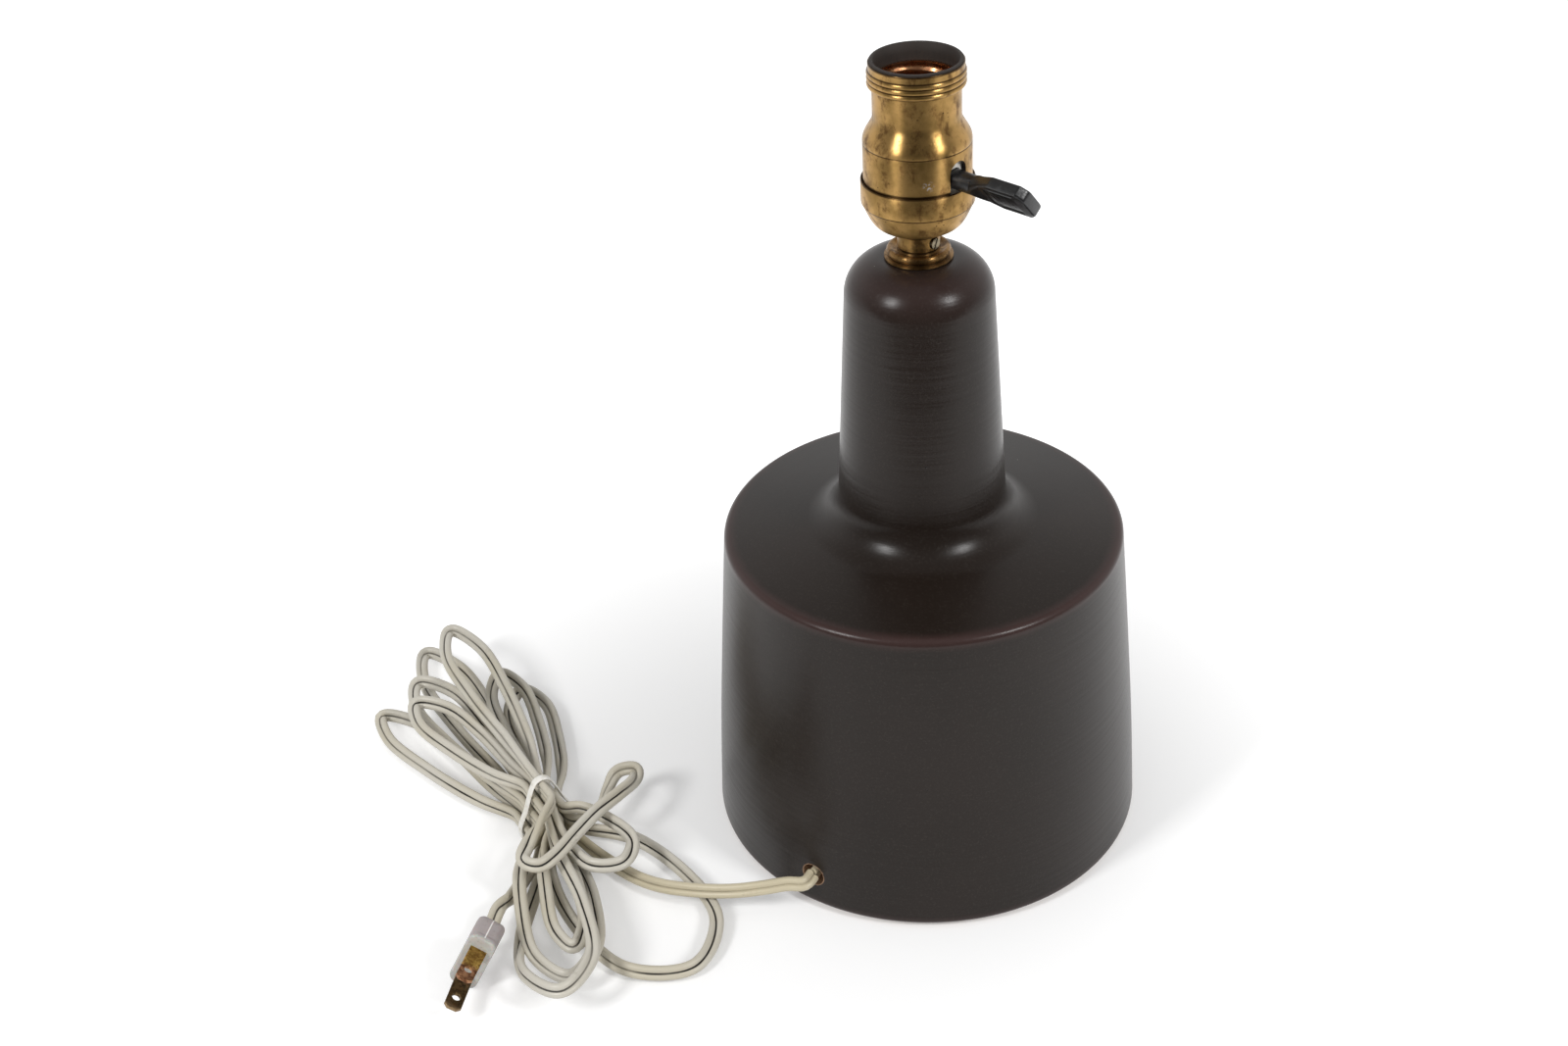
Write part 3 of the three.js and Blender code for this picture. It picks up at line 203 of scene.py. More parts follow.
def length_of(line):
    return sum((b - a).length for a, b in zip(line, line[1:]))


print("curve helpers ready")

# %% [markdown]
# ## Shader sums in Python
# A finish is a network of nodes, and most of its nodes only add, multiply or compare numbers.
# This small class wraps a node's output, so such sums can be written as Python writes them, also
# with the number first, as in 1 - mask. Every other node comes from one method, which takes the
# node's type, its settings, and the values or wires of its sockets.


# %% The wire class and the node class
class Wire:
    def __init__(self, nodes, socket):
        self.nodes = nodes
        self.socket = socket

    def sum_of(self, operation, first, second):
        return self.nodes.node("ShaderNodeMath", {"operation": operation}, {0: first, 1: second})

    def __add__(self, other):
        return self.sum_of("ADD", self, other)

    def __sub__(self, other):
        return self.sum_of("SUBTRACT", self, other)

    def __rsub__(self, other):
        return self.sum_of("SUBTRACT", other, self)

    def __mul__(self, other):
        return self.sum_of("MULTIPLY", self, other)

    def __pow__(self, other):
        return self.sum_of("POWER", self, other)

    def __gt__(self, other):
        return self.sum_of("GREATER_THAN", self, other)

    def __lt__(self, other):
        return self.sum_of("LESS_THAN", self, other)

    def at_least(self, other):
        return self.sum_of("MAXIMUM", self, other)

    __radd__ = __add__
    __rmul__ = __mul__


class Nodes:
    def __init__(self, tree, coordinates):
        self.tree = tree
        self.place = self.node("ShaderNodeTexCoord", output=coordinates)

    def node(self, kind, settings=None, inputs=None, output=0):
        node = self.tree.nodes.new(kind)
        for name, value in (settings or {}).items():
            setattr(node, name, value)
        for name, value in (inputs or {}).items():
            socket = self.find(node.inputs, name)
            if isinstance(value, Wire):
                self.tree.links.new(value.socket, socket)
            else:
                socket.default_value = value
        return Wire(self, self.find(node.outputs, output))

    def find(self, sockets, name):
        if isinstance(name, int):
            return sockets[name]
        return next(s for s in sockets if name in (s.identifier, s.name))

    def also(self, wire, output):
        """Another output of the node that a wire comes from."""
        return Wire(self, self.find(wire.socket.node.outputs, output))

    def axis(self, name):
        """The place's X, Y or Z."""
        return self.node("ShaderNodeSeparateXYZ", {}, {"Vector": self.place}, name)

    def fade(self, value, low, high):
        """0 where the value is at low and 1 where it is at high, with a soft step between."""
        inputs = {"Value": value, "From Min": low, "From Max": high}
        return self.node("ShaderNodeMapRange", {"interpolation_type": "SMOOTHSTEP"}, inputs)


print("node helpers ready")

# %% [markdown]
# ## Finishes
# Each finish is one Principled shader. What is the same all over a surface is set on the
# shader's own sockets, and only what changes from place to place is wired to it: the colour, the
# roughness and the fine relief. Places are read in the piece's own coordinates, in metres, so a
# blotch of 6 mm is a noise whose scale is 1 / 0.006.


# %% Finishes and what they are mixed from
class Finish(Nodes):
    def __init__(self, name, **constants):
        self.material = bpy.data.materials.new(name)
        self.material.use_nodes = True
        super().__init__(self.material.node_tree, "Object")
        self.shader = next(n for n in self.tree.nodes if n.type == "BSDF_PRINCIPLED")
        for socket, value in constants.items():
            self.shader.inputs[socket.replace("_", " ")].default_value = value

    def wire(self, socket, value):
        self.tree.links.new(value.socket, self.shader.inputs[socket])

    def noise(self, size, detail=3, stretch=(1, 1, 1), rough=0.5):
        where = self.node("ShaderNodeMapping", {}, {"Vector": self.place, "Scale": stretch})
        sockets = {"Vector": where, "Scale": 1 / (size * MM), "Detail": detail, "Roughness": rough}
        return self.node("ShaderNodeTexNoise", {}, sockets)

    def specks(self, cell, size, share):
        """Round dots of a size in mm, in a share of the cells of a jumbled grid."""
        sockets = {"Vector": self.place, "Scale": 1 / (cell * MM)}
        near = self.node("ShaderNodeTexVoronoi", {}, sockets, "Distance")
        luck = self.node("ShaderNodeSeparateColor", {}, {"Color": self.also(near, "Color")})
        return self.fade(near, size / cell, size / cell / 2) * (luck < share)

    def mix(self, factor, first, second):
        inputs = {"Factor_Float": factor}
        for name, color in (("A_Color", first), ("B_Color", second)):
            inputs[name] = color if isinstance(color, Wire) else (*color, 1)
        return self.node("ShaderNodeMix", {"data_type": "RGBA"}, inputs, "Result_Color")

    def fade_mm(self, value, low, high):
        """A fade between two lengths in mm."""
        return self.fade(value, low * MM, high * MM)

    def distance_to(self, point):
        inputs = {0: self.place, 1: point}
        return self.node("ShaderNodeVectorMath", {"operation": "DISTANCE"}, inputs, "Value")

    def near_point(self, point, reach):
        """1 at a point given in mm, fading to 0 at a reach in mm."""
        return self.fade_mm(self.distance_to(Vector(point) * MM), reach, 0)

    def relief(self, height, depth):
        """Bumps whose height is a depth in mm where the value is 1."""
        inputs = {"Height": height, "Distance": depth * MM, "Strength": 1}
        self.wire("Normal", self.node("ShaderNodeBump", {}, inputs))

    def done(self, color, roughness):
        self.wire("Base Color", color)
        self.wire("Roughness", roughness)
        print("finish", self.material.name)
        return self.material


# %% [markdown]
# ## The cord's jacket
# The cord is two cores in one jacket of soft vinyl, once white and now grey, and yellow near the
# lamp. The groove between the cores shows a thin dark line of dirt and painted shade, worn away in
# places and fainter on the lead. The mesh carries two numbers for this at each point: how deep it
# lies in the groove, and how far along the cord it is.

# %% Jacket finish
YELLOW_UNTIL, GREY_FROM = 0.1, 0.17


def jacket_finish():
    finish = Finish("cord_jacket", IOR=1.5)
    groove = finish.node("ShaderNodeAttribute", {"attribute_name": "groove"}, output="Fac")
    along = finish.node("ShaderNodeAttribute", {"attribute_name": "along"}, output="Fac")
    lead = finish.fade(along, GREY_FROM, YELLOW_UNTIL)
    cloud = finish.fade(finish.noise(38, 2), 0.35, 0.7)
    clean = finish.mix(cloud, (0.56, 0.53, 0.46), (0.51, 0.465, 0.36))
    yellow = finish.mix(lead * 0.75, clean, (0.54, 0.47, 0.31))
    smudges = finish.fade(finish.noise(5, 5, rough=0.7), 0.58, 0.8) * 0.35
    worn = finish.mix(smudges, yellow, (0.2, 0.175, 0.13))
    wiped = finish.fade(finish.noise(45, 2), 0.6, 0.42) * 0.55 + 0.45
    # The groove's thin dark line is dirt and painted shade in the groove, broken up in places.
    line = finish.fade(groove + (finish.noise(9, 3) - 0.5) * 0.4, 0.3, 0.55)
    groove_dirt_and_shade = line * wiped * (1 - lead * 0.75)
    finish.relief(finish.noise(0.5, 4), 0.04)
    color = finish.mix(groove_dirt_and_shade, worn, (0.02, 0.017, 0.014))
    return finish.done(color, 0.36 + cloud * 0.12 + groove_dirt_and_shade * 0.3)


cord_jacket = jacket_finish()

# %% [markdown]
# ## The hank's petals
# The cord is folded to and fro and tied at the waist. Seen from above it is a row of petals: each
# strand passes the tie in its own cell, swings out, turns and comes back through another cell.
# Cells are columns and rows of strands, so no two strands share a place. A table of petals is
# shorter than a list of points, and one petal can be widened or turned without the others.

# %% Hank sizes and petals
HANK_PLACE = (-149.5, -27.6)
HANK_TURN = math.radians(123.6)
STRAND_PITCH = 3.6
ROW_PITCH = 6.3
LOWEST_STRAND = 4.3
WAIST_HALF = 10
STRAND_END = 1.5
UP, DOWN = 1, -1
LEFT, RIGHT = -1, 1
PASS_SHARES = (-1, -0.7, 0.7, 1)
REACH_SHARES = (0.28, 0.58, 0.86, 1, 0.86, 0.58, 0.28)
SLIM_SHARES = (0.38, 0.84, 0.86, 0, 0.86, 0.84, 0.38)
ROUND_SHARES = (0.62, 0.95, 0.84, 0, 0.84, 0.95, 0.62)
FALLING_SHARES = (0.38, 0.84, 0.86, 0, 0.86, 0.78, 0.06)
EVEN_CLIMB = (0.1, 0.2, 0.35, 0.5, 0.65, 0.8, 0.9)
EARLY_CLIMB = (0.1, 1, 1, 1, 1, 1, 1)
LATE_CLIMB = (0, 0, 0, 0, 0.3, 0.96, 1)
SLIM = (SLIM_SHARES, EVEN_CLIMB)
ROUND = (ROUND_SHARES, EVEN_CLIMB)
CLIMBING = (ROUND_SHARES, EARLY_CLIMB)
FALLING = (FALLING_SHARES, LATE_CLIMB)

# Each petal: first cell, last cell, way, turn in degrees, reach, width, first side and form
PETALS = [
    ((1.5, 0), (2.5, 0), UP, 18, 86, 17, LEFT, SLIM),
    ((2.5, 0), (-0.5, 0), DOWN, 6.5, 101, 45, RIGHT, ROUND),
    ((-0.5, 0), (0.5, 0), UP, 1, 130, 19, LEFT, SLIM),
    ((0.5, 0), (-1.5, 1), DOWN, -19.5, 91, 25, RIGHT, CLIMBING),
    ((-1.5, 1), (-0.5, 1), UP, -6, 105, 19, LEFT, SLIM),
    ((-0.5, 1), (0.5, 1), DOWN, -17.4, 77, 12.4, LEFT, SLIM),
    ((0.5, 1), (1.5, 1), UP, 13, 92, 15, LEFT, SLIM),
    ((1.5, 1), (0, 3), DOWN, 0, 0, 0, LEFT, None),
    ((0, 3), (1, 2), UP, 5.5, 119, 17, LEFT, SLIM),
    ((1, 2), (0, 2), DOWN, 11, 51, 22, RIGHT, SLIM),
    ((0, 2), (-1, 2), UP, -13, 86, 16, RIGHT, SLIM),
    ((-1, 2), (-1.5, 0), DOWN, -21.5, 103, 28, RIGHT, FALLING),
    ((-1.5, 0), (-2.5, 0), UP, -17, 104, 16, RIGHT, SLIM),
]
CROSSING_TURN = [
    (-14, 9, 10.8), (-13, 17, 11.5), (-6, 25, 13.5), (-1, 32, 15.5), (-5, 38, 17),
    (-13, 34, 19), (-20, 24, 22), (-26, 12, 23.8), (-33, -1, 24), (-39, -12, 23.6),
    (-41, -20, 23.4), (-35, -24, 23.4), (-26, -17, 23.4), (-17, -7, 23.4),
]
TAIL_TURN = [(4, 1.2), (9, 5.6), (13, 10)]
print(len(PETALS), "turns and", len(PETALS) + 1, "strands through the tie")

# %% [markdown]
# ## The hank's route
# The petals are turned into points, first along and across the hank and then in the room, and
# one smooth curve runs through all of them. The route follows the model's. Only the falling
# strand passes about 2 mm aside near the tie, where it would press into its neighbour.

# %% Route of the hank
CURVE_STEPS = 12


def strand_height(row):
    return LOWEST_STRAND + ROW_PITCH * row


def hank_point(along, across, height):
    x = HANK_PLACE[0] + along * math.cos(HANK_TURN) + across * math.sin(HANK_TURN)
    y = HANK_PLACE[1] + along * math.sin(HANK_TURN) - across * math.cos(HANK_TURN)
    return Vector((x, y, height))


def petal_points(first, last, way, turn, reach, width, side, form):
    if form is None:
        return CROSSING_TURN
    swell, climb = form
    angle = math.radians(turn)
    low, high = strand_height(first[1]), strand_height(last[1])
    points = []
    for k, share in enumerate(REACH_SHARES):
        going_out = k < len(REACH_SHARES) / 2
        column = first[0] if going_out else last[0]
        sideways = (side if going_out else -side) * swell[k] * width / 2
        along = reach * share * math.cos(angle) - math.sin(angle) * sideways
        across = reach * share * math.sin(angle) + math.cos(angle) * sideways
        across += column * STRAND_PITCH * (1 - share)
        points.append((way * along, across, low + (high - low) * climb[k]))
    return points


def pass_points(cell, way):
    across, height = cell[0] * STRAND_PITCH, strand_height(cell[1])
    return [(way * WAIST_HALF * share, across, height) for share in PASS_SHARES]


def hank_route():
    first, last = PETALS[0][0], PETALS[-1][1]
    points = [(-WAIST_HALF - STRAND_END, first[0] * STRAND_PITCH, strand_height(first[1]))]
    for petal in PETALS:
        points += pass_points(petal[0], petal[2])
        points += petal_points(*petal)
    points += pass_points(last, DOWN)
    side, height = last[0] * STRAND_PITCH, strand_height(last[1])
    points += [(-WAIST_HALF - along, side - across, height) for along, across in TAIL_TURN]
    return [hank_point(*point) for point in points]


hank_line = cord_curve(hank_route(), CURVE_STEPS)
print("hank", round(length_of(hank_line)), "mm")

# %% [markdown]
# ## The whole cord's route
# Two short free lengths join the hank to the lamp and to the plug. The cord comes straight out
# of its hole, dips under its own weight and runs over the table into the hank. At the other end
# it leaves the tie, bends away and goes straight into the plug, so the plug's place comes first.

# %% Route from the hole to the plug
HOLE_ANGLE = math.radians(-31.3)
HOLE_DIRECTION = Vector((math.sin(HOLE_ANGLE), -math.cos(HOLE_ANGLE), 0))
HOLE_Z = 15.5
HOLE_MOUTH = 81.1
CORD_WIDTH = 5.6
CORD_THICKNESS = 2.8
CORD_GAP = 0.3
PLUG_PLACE = (-160.2, -87.6, 9.4)
PLUG_TURN = math.radians(-6.6)
PLUG_LEAN = math.radians(27.5)
PLUG_NOSE_UP = math.radians(10.4)
PLUG_FRAME = (
    Matrix.Translation(Vector(PLUG_PLACE) * MM)
    @ Matrix.Rotation(PLUG_TURN, 4, "Z")
    @ Matrix.Rotation(-PLUG_NOSE_UP, 4, "X")
    @ Matrix.Rotation(PLUG_LEAN, 4, "Y")
)
BODY_START = 10.4
LEAD_POINTS = [
    (-51, -73.8, 15.2), (-60, -74.8, 14.2), (-70, -74.6, 12.4), (-80, -73, 10.6),
    (-90, -70.4, 9), (-100, -66.6, 7.2), (-109, -61.2, 5.6), (-118, -54, 4.6),
    (-126.5, -46.6, 4.4),
]
TAIL_POINTS = [(-156.6, -70.5, 5.2), (-158.4, -76.2, 7.6)]


def hole_point(radius, height=HOLE_Z):
    return HOLE_DIRECTION * radius + Vector((0, 0, height))


def behind_plug(distance):
    backward = Vector((-math.sin(PLUG_TURN), math.cos(PLUG_TURN), 0))
    return Vector(PLUG_PLACE) + backward * distance


lead = [hole_point(HOLE_MOUTH + CORD_GAP), hole_point(HOLE_MOUTH + CORD_GAP + CORD_WIDTH)]
lead += [Vector(point) for point in LEAD_POINTS]
lead_line = cord_curve([*lead, hank_line[0]], CURVE_STEPS)
tail = [Vector(point) for point in TAIL_POINTS]
tail += [behind_plug(CORD_GAP + CORD_WIDTH), behind_plug(CORD_GAP)]
tail.append(PLUG_FRAME @ (Vector((0, -BODY_START, 0)) * MM) / MM)
tail_line = cord_curve([hank_line[-1], *tail], CURVE_STEPS)
cord_line = lead_line[:-1] + hank_line + tail_line[1:]
CORD_LENGTH = length_of(cord_line) * MM
print("cord", round(CORD_LENGTH, 3), "m")

# %% [markdown]
# ## Points evenly along a line
# The route's points lie close together in tight bends and far apart elsewhere. A sweep looks
# smooth when its sections are a step apart, so the line is walked and new points are set down.
# A light easing then takes the small kinks out of its joints.

# %% Even and eased lines
CORD_STEP = 1.3
EASING_PASSES = 2


def even_line(line, step):
    """The same line with its points a step apart."""
    count = max(2, round(length_of(line) / step))
    gap = length_of(line) / count
    points, walked, target = [line[0]], 0, gap
    for a, b in zip(line, line[1:]):
        size = (b - a).length
        while size > 0 and walked + size >= target and len(points) < count:
            points.append(a.lerp(b, (target - walked) / size))
            target += gap
        walked += size
    return [*points, line[-1]]


def eased(line, passes):
    for _ in range(passes):
        inner = [(a + 2 * b + c) / 4 for a, b, c in zip(line, line[1:], line[2:])]
        line = [line[0], *inner, line[-1]]
    return line


cord_path = eased(even_line(cord_line, CORD_STEP), EASING_PASSES)
print("lowest point of the route", round(min(point.z for point in cord_path), 2), "mm")

# %% [markdown]
# ## The cord's mesh
# A bevelled curve would give a plain round tube. This cord is flat with a groove down both wide
# faces, so its section is drawn round the two cores and swept along the route. A flat cord bends
# only across its thin way, so it stands on edge in the tie. Past the tie it has room, and there
# its wide face leans forward and up.

# %% Cord section and sweep
LOBE_FROM = -56
LOBE_STEPS = 12
GROOVE_HALF = 0.58
GROOVE_REACH = 0.55
FACE_RISE = math.radians(24)
UPRIGHT_WITHIN, LEANING_BEYOND = 13, 36
CORD_CORNER = 75


def cord_section():
    """Points as (sideways, up, nearness to the groove), round both cores."""
    radius = CORD_THICKNESS / 2
    upper = arc(0, radius, radius, LOBE_FROM, 180 - LOBE_FROM, LOBE_STEPS)
    lower = [(-x, -y) for x, y in upper]
    outline = [(GROOVE_HALF, 0), *upper, (-GROOVE_HALF, 0), *lower]
    return [(x, y, max(0, 1 - abs(y) / GROOVE_REACH)) for x, y in outline]


def wide_face(point, ahead):
    """The way a wide face looks: across the hank in the tie, and forward and up beyond it."""
    away = math.dist(point.xy, HANK_PLACE)
    share = (away - UPRIGHT_WITHIN) / (LEANING_BEYOND - UPRIGHT_WITHIN)
    in_tie = Vector((-math.sin(HANK_TURN), math.cos(HANK_TURN), 0))
    beyond = Vector((0, -math.cos(FACE_RISE), math.sin(FACE_RISE)))
    look = in_tie.lerp(beyond, clamped(share))
    return (look - ahead * look.dot(ahead)).normalized()


def cord_mesh(line, face_at):
    section = cord_section()
    rings, groove, along, walked = [], [], [], 0
    for k, point in enumerate(line):
        ahead = (line[min(k + 1, len(line) - 1)] - line[max(k - 1, 0)]).normalized()
        side = face_at(point, ahead)
        up = side.cross(ahead).normalized()
        walked += (point - line[k - 1]).length if k else 0
        rings.append([point + side * x + up * y for x, y, depth in section])
        groove += [depth for x, y, depth in section]
        along += [walked * MM] * len(section)
    mesh = joined_rings(rings)
    for name, values in (("groove", groove), ("along", along)):
        mesh.attributes.new(name, "FLOAT", "POINT").data.foreach_set("value", values)
    return mesh


cord = add_piece(
    "flat_cord", cord_mesh(cord_path, wide_face), cord_jacket,
    ["cord_lead", "cord_hank", "cord_tail"], corner=CORD_CORNER,
)

# %% [markdown]
# ## The tie
# A narrow white strap holds the hank. It is bent round all the strands and pulled tight, so its
# outline is the strands' own, without their hollows: a closed loop with an oval section. Fine
# ribs across it, as on a plastic strap, come from its finish.

# %% Tie
TIE_OUTLINE = [
    (0, 0.75), (9.4, 0.75), (11.1, 2.3), (11.15, 7.1),
    (7.95, 13.8), (5.7, 20), (2.9, 25.6), (0, 26.8),
]
TIE_STEPS = 6
TIE_HALF_WIDTH = 1.6
TIE_HALF_THICKNESS = 0.5
TIE_SIDES = 12
TIE_RIB = 0.9


def tie_finish():
    finish = Finish("white_tie", IOR=1.48)
    waves = finish.axis("Z") * (2 * math.pi / (TIE_RIB * MM))
    ribs = finish.node("ShaderNodeMath", {"operation": "SINE"}, {0: waves})
    stains = finish.fade(finish.noise(3, 4), 0.5, 0.75)
    finish.relief(ribs * 0.5 + finish.noise(0.4), 0.06)
    color = finish.mix(stains, (0.8, 0.78, 0.73), (0.66, 0.62, 0.53))
    return finish.done(color, 0.45 + stains * 0.15)


def tie_mesh():
    """An oval section swept round a closed loop that stands across the hank."""
    half = profile_curve(TIE_OUTLINE, TIE_STEPS)
    loop = half[:-1] + [(-across, height) for across, height in reversed(half)][:-1]
    rings = []
    for k, (across, height) in enumerate(loop):
        ahead = (Vector(loop[(k + 1) % len(loop)]) - Vector(loop[k - 1])).normalized()
        ring = []
        for along, off in circle(0, 0, 1, TIE_SIDES):
            out = Vector((ahead.y, -ahead.x)) * off * TIE_HALF_THICKNESS
            ring.append(hank_point(along * TIE_HALF_WIDTH, across + out.x, height + out.y))
        rings.append(ring)
    return joined_rings(rings, closed=True)


tie = add_piece("strap_tie", tie_mesh(), tie_finish(), ["hank_tie"])

# %% [markdown]
# ## The plug
# The plug lies on one lower edge of its body with its nose up a little, so both its blades point
# at the camera, one above the other. The body is moulded vinyl: small round the cord, then two
# shoulders, then a flat block with a parting line. A milky plate closes its front, and the blades
# come out of that. The block and the plate are lofted: a rectangle with round corners is repeated
# along the plug, and its size changes from station to station.

# %% Loft and plate helpers
CORNER_STEPS = 8
BEVEL_STEPS = 2
WELD_DISTANCE = 0.001


def rounded_section(half_width, half_height, corner):
    """A rectangle with round corners, as points (x, z)."""
    corner = min(corner, half_width, half_height)
    x, z = half_width - corner, half_height - corner
    points = []
    for quarter, (side, up) in enumerate(((1, 1), (-1, 1), (-1, -1), (1, -1))):
        start = 90 * quarter
        points += arc(side * x, up * z, corner, start, start + 90, CORNER_STEPS)
    return points


def loft_mesh(stations):
    """Sections along -Y. A station is (distance, half width, half height, corner)."""
    rings = []
    for distance, *sizes in stations:
        rings.append([(x, -distance, z) for x, z in rounded_section(*sizes)])
    return joined_rings(rings)


def shown_mesh(piece):
    """The mesh that a helper object shows, with its modifiers; the helper is removed."""
    depsgraph = bpy.context.evaluated_depsgraph_get()
    mesh = bpy.data.meshes.new_from_object(piece.evaluated_get(depsgraph))
    bpy.data.objects.remove(piece)
    return mesh


def plate_mesh(outlines, thickness, rounding):
    """A plate in the XY plane: the first outline is its edge and the others are holes."""
    curve = bpy.data.curves.new("plate", "CURVE")
    curve.dimensions = "2D"
    curve.fill_mode = "BOTH"
    curve.extrude = (thickness / 2 - rounding) * MM
    curve.bevel_depth = rounding * MM
    curve.bevel_resolution = BEVEL_STEPS
    curve.offset = -rounding * MM
    for outline in outlines:
        line = curve.splines.new("POLY")
        line.points.add(len(outline) - 1)
        for point, (x, y) in zip(line.points, outline):
            point.co = (x * MM, y * MM, 0, 1)
        line.use_cyclic_u = True
    mesh = shown_mesh(in_scene("plate", curve))
    welded = bmesh.new()
    welded.from_mesh(mesh)
    bmesh.ops.remove_doubles(welded, verts=welded.verts, dist=WELD_DISTANCE * MM)
    welded.to_mesh(mesh)
    welded.free()
    return mesh


# %% [markdown]
# The vinyl is a cloudy mauve, with a pale parting line along its upper side. The face is milky
# and a little grimy. The two blades share one finish: the upper one is gold and turns to copper
# near its tip. The lower one is darkened to brown as painted shade from the upper blade above it,
# and its tip is lighter, from wear by wall outlets and a painted highlight.

# %% Vinyl, milky plastic and blade finishes
SEAM_EDGE, SEAM_CORE = 0.34, 0.12
SEAM_FROM, SEAM_FULL = 8, 10
UPPER_BLADE_FROM = 3
COPPER_FROM, COPPER_FULL, COPPER_WANDER = -34, -37, 4
TIP_WEAR_AND_GLINT_FROM, TIP_WEAR_AND_GLINT_FULL = -40.6, -42.4


def grip_finish():
    finish = Finish("mauve_plastic", IOR=1.5, Subsurface_Weight=0.08, Subsurface_Scale=0.003)
    x, z = map(finish.axis, "XZ")
    middle = finish.fade(x * x, (SEAM_EDGE * MM) ** 2, (SEAM_CORE * MM) ** 2)
    seam = middle * finish.fade_mm(z, SEAM_FROM, SEAM_FULL)
    cloud = finish.noise(4, 3)
    color = finish.mix(cloud, (0.4, 0.355, 0.35), (0.32, 0.28, 0.275))
    marks = finish.fade(finish.noise(1.4, 4), 0.6, 0.75) * 0.3
    marked = finish.mix(marks, color, (0.14, 0.12, 0.11))
    finish.relief(seam + finish.noise(0.5) * 0.3, 0.1)
    return finish.done(finish.mix(seam, marked, (0.8, 0.78, 0.76)), 0.36 + cloud * 0.14)


def face_finish():
    finish = Finish("milky_plastic", IOR=1.46, Subsurface_Weight=0.3, Subsurface_Scale=0.004)
    cloud = finish.noise(3, 3)
    grime = finish.fade(finish.noise(1.2, 5, rough=0.7), 0.52, 0.72) * 0.5
    finish.relief(cloud, 0.08)
    milk = finish.mix(cloud, (0.53, 0.515, 0.48), (0.4, 0.385, 0.355))
    return finish.done(finish.mix(grime, milk, (0.22, 0.18, 0.13)), 0.2 + cloud * 0.15)


def blade_finish():
    finish = Finish("blade_brass", Metallic=1.0)
    y, z = map(finish.axis, "YZ")
    # The lower blade is darkened to brown: painted shade from the upper blade.
    lower = finish.fade_mm(z, UPPER_BLADE_FROM, 0)
    wander = (finish.noise(2.5, 3) - 0.5) * (COPPER_WANDER * MM)
    toward_tip = finish.fade_mm(y + wander, COPPER_FROM, COPPER_FULL)
    stain = finish.fade(finish.noise(1.6, 5, rough=0.65), 0.4, 0.62)
    gold = finish.mix(stain, (0.52, 0.33, 0.085), (0.27, 0.15, 0.035))
    copper = finish.mix(stain, (0.34, 0.17, 0.085), (0.14, 0.06, 0.03))
    brown = finish.mix(stain, (0.17, 0.115, 0.055), (0.06, 0.038, 0.02))
    # The lower blade's lighter tip is wear and a painted highlight.
    worn = finish.fade_mm(y, TIP_WEAR_AND_GLINT_FROM, TIP_WEAR_AND_GLINT_FULL) * 0.6
    upper_color = finish.mix(toward_tip, gold, copper)
    shaded_lower_color = finish.mix(worn, brown, (0.33, 0.23, 0.13))
    finish.relief(finish.noise(0.3, 3) + finish.noise(6, 3, (8, 1, 1)) * 0.5, 0.03)
    return finish.done(finish.mix(lower, upper_color, shaded_lower_color), 0.36 + stain * 0.25)


mauve_plastic = grip_finish()
milky_plastic = face_finish()
blade_brass = blade_finish()

# %% [markdown]
# The plug's sizes are measured in its own frame: distances run along -Y from a point behind the
# grip, and the blades lie above and below the middle. A station with a small section closes each
# flat end, so the end is a ring of even faces round a small middle.

# %% Sizes of the plug
BODY_HALF_WIDTH, BODY_HALF_HEIGHT, BODY_CORNER = 5.4, 11.7, 2.3
NECK_HALF_WIDTH, NECK_HALF_HEIGHT = 3.6, 4.4
NECK_EDGE, NECK_CORNER = 0.4, 1.6
SHOULDER_END, RIM_START, FACE_START, FACE_FRONT = 15.8, 22.6, 24.2, 25.5
SHOULDER_STEPS, SHOULDER_CURVE = 12, 1.5
RIM_CORNER = BODY_CORNER + 0.4
FACE_INSET, FACE_CORNER, FACE_EDGE, FACE_STEPS = 0.06, 3, 0.9, 6
END_SECTION = (1, 1, 0.5)
BLADE_HALF_WIDTH, BLADE_THICKNESS, BLADE_SPACING = 3.175, 1.5, 12.7
BLADE_LENGTH, BLADE_HOLE_AT, BLADE_HOLE, BLADE_CHAMFER = 17.5, 11.9, 1.6, 1.4
BLADE_ROOT, BLADE_EDGE = 0.8, 0.25
BLADE_BEND, BLADE_SWING = math.radians(4), math.radians(4)

# How far the block's sides stand out at a distance: a groove, and a small round at the face
RIM_STEPS = [
    (RIM_START - 1.2, 0), (RIM_START - 0.4, -0.2), (RIM_START, -0.22), (RIM_START + 0.3, 0),
    (FACE_START - 0.5, 0), (FACE_START - 0.15, -0.03), (FACE_START, -0.12),
]
print("plug body", round(FACE_START - BODY_START, 1), "mm long")

# %% [markdown]
# The shoulders swell along a quarter of an ellipse, and the face's edge is a quarter of a circle.
# A blade is a flat curve with a hole, given a thickness and a fine bevel. The lower blade is bent
# a little, as in the photograph.


# %% Body, face and blades
def swelling(share, small, large):
    """From small to large, fast at first, as along a quarter of an ellipse."""
    return small + (large - small) * math.sqrt(1 - (1 - share) ** 2)


def body_stations():
    back = BODY_START - NECK_EDGE
    neck = (NECK_HALF_WIDTH - NECK_EDGE, NECK_HALF_HEIGHT - NECK_EDGE, NECK_CORNER)
    stations = [(back, *END_SECTION), (back, *neck)]
    for k in range(SHOULDER_STEPS + 1):
        share = k / SHOULDER_STEPS
        distance = BODY_START + (SHOULDER_END - BODY_START) * share**SHOULDER_CURVE
        half_width = swelling(share, NECK_HALF_WIDTH, BODY_HALF_WIDTH)
        half_height = swelling(share, NECK_HALF_HEIGHT, BODY_HALF_HEIGHT)
        stations.append((distance, half_width, half_height, BODY_CORNER))
    for distance, out in RIM_STEPS:
        stations.append((distance, BODY_HALF_WIDTH + out, BODY_HALF_HEIGHT + out, RIM_CORNER))
    return [*stations, (FACE_START, *END_SECTION)]


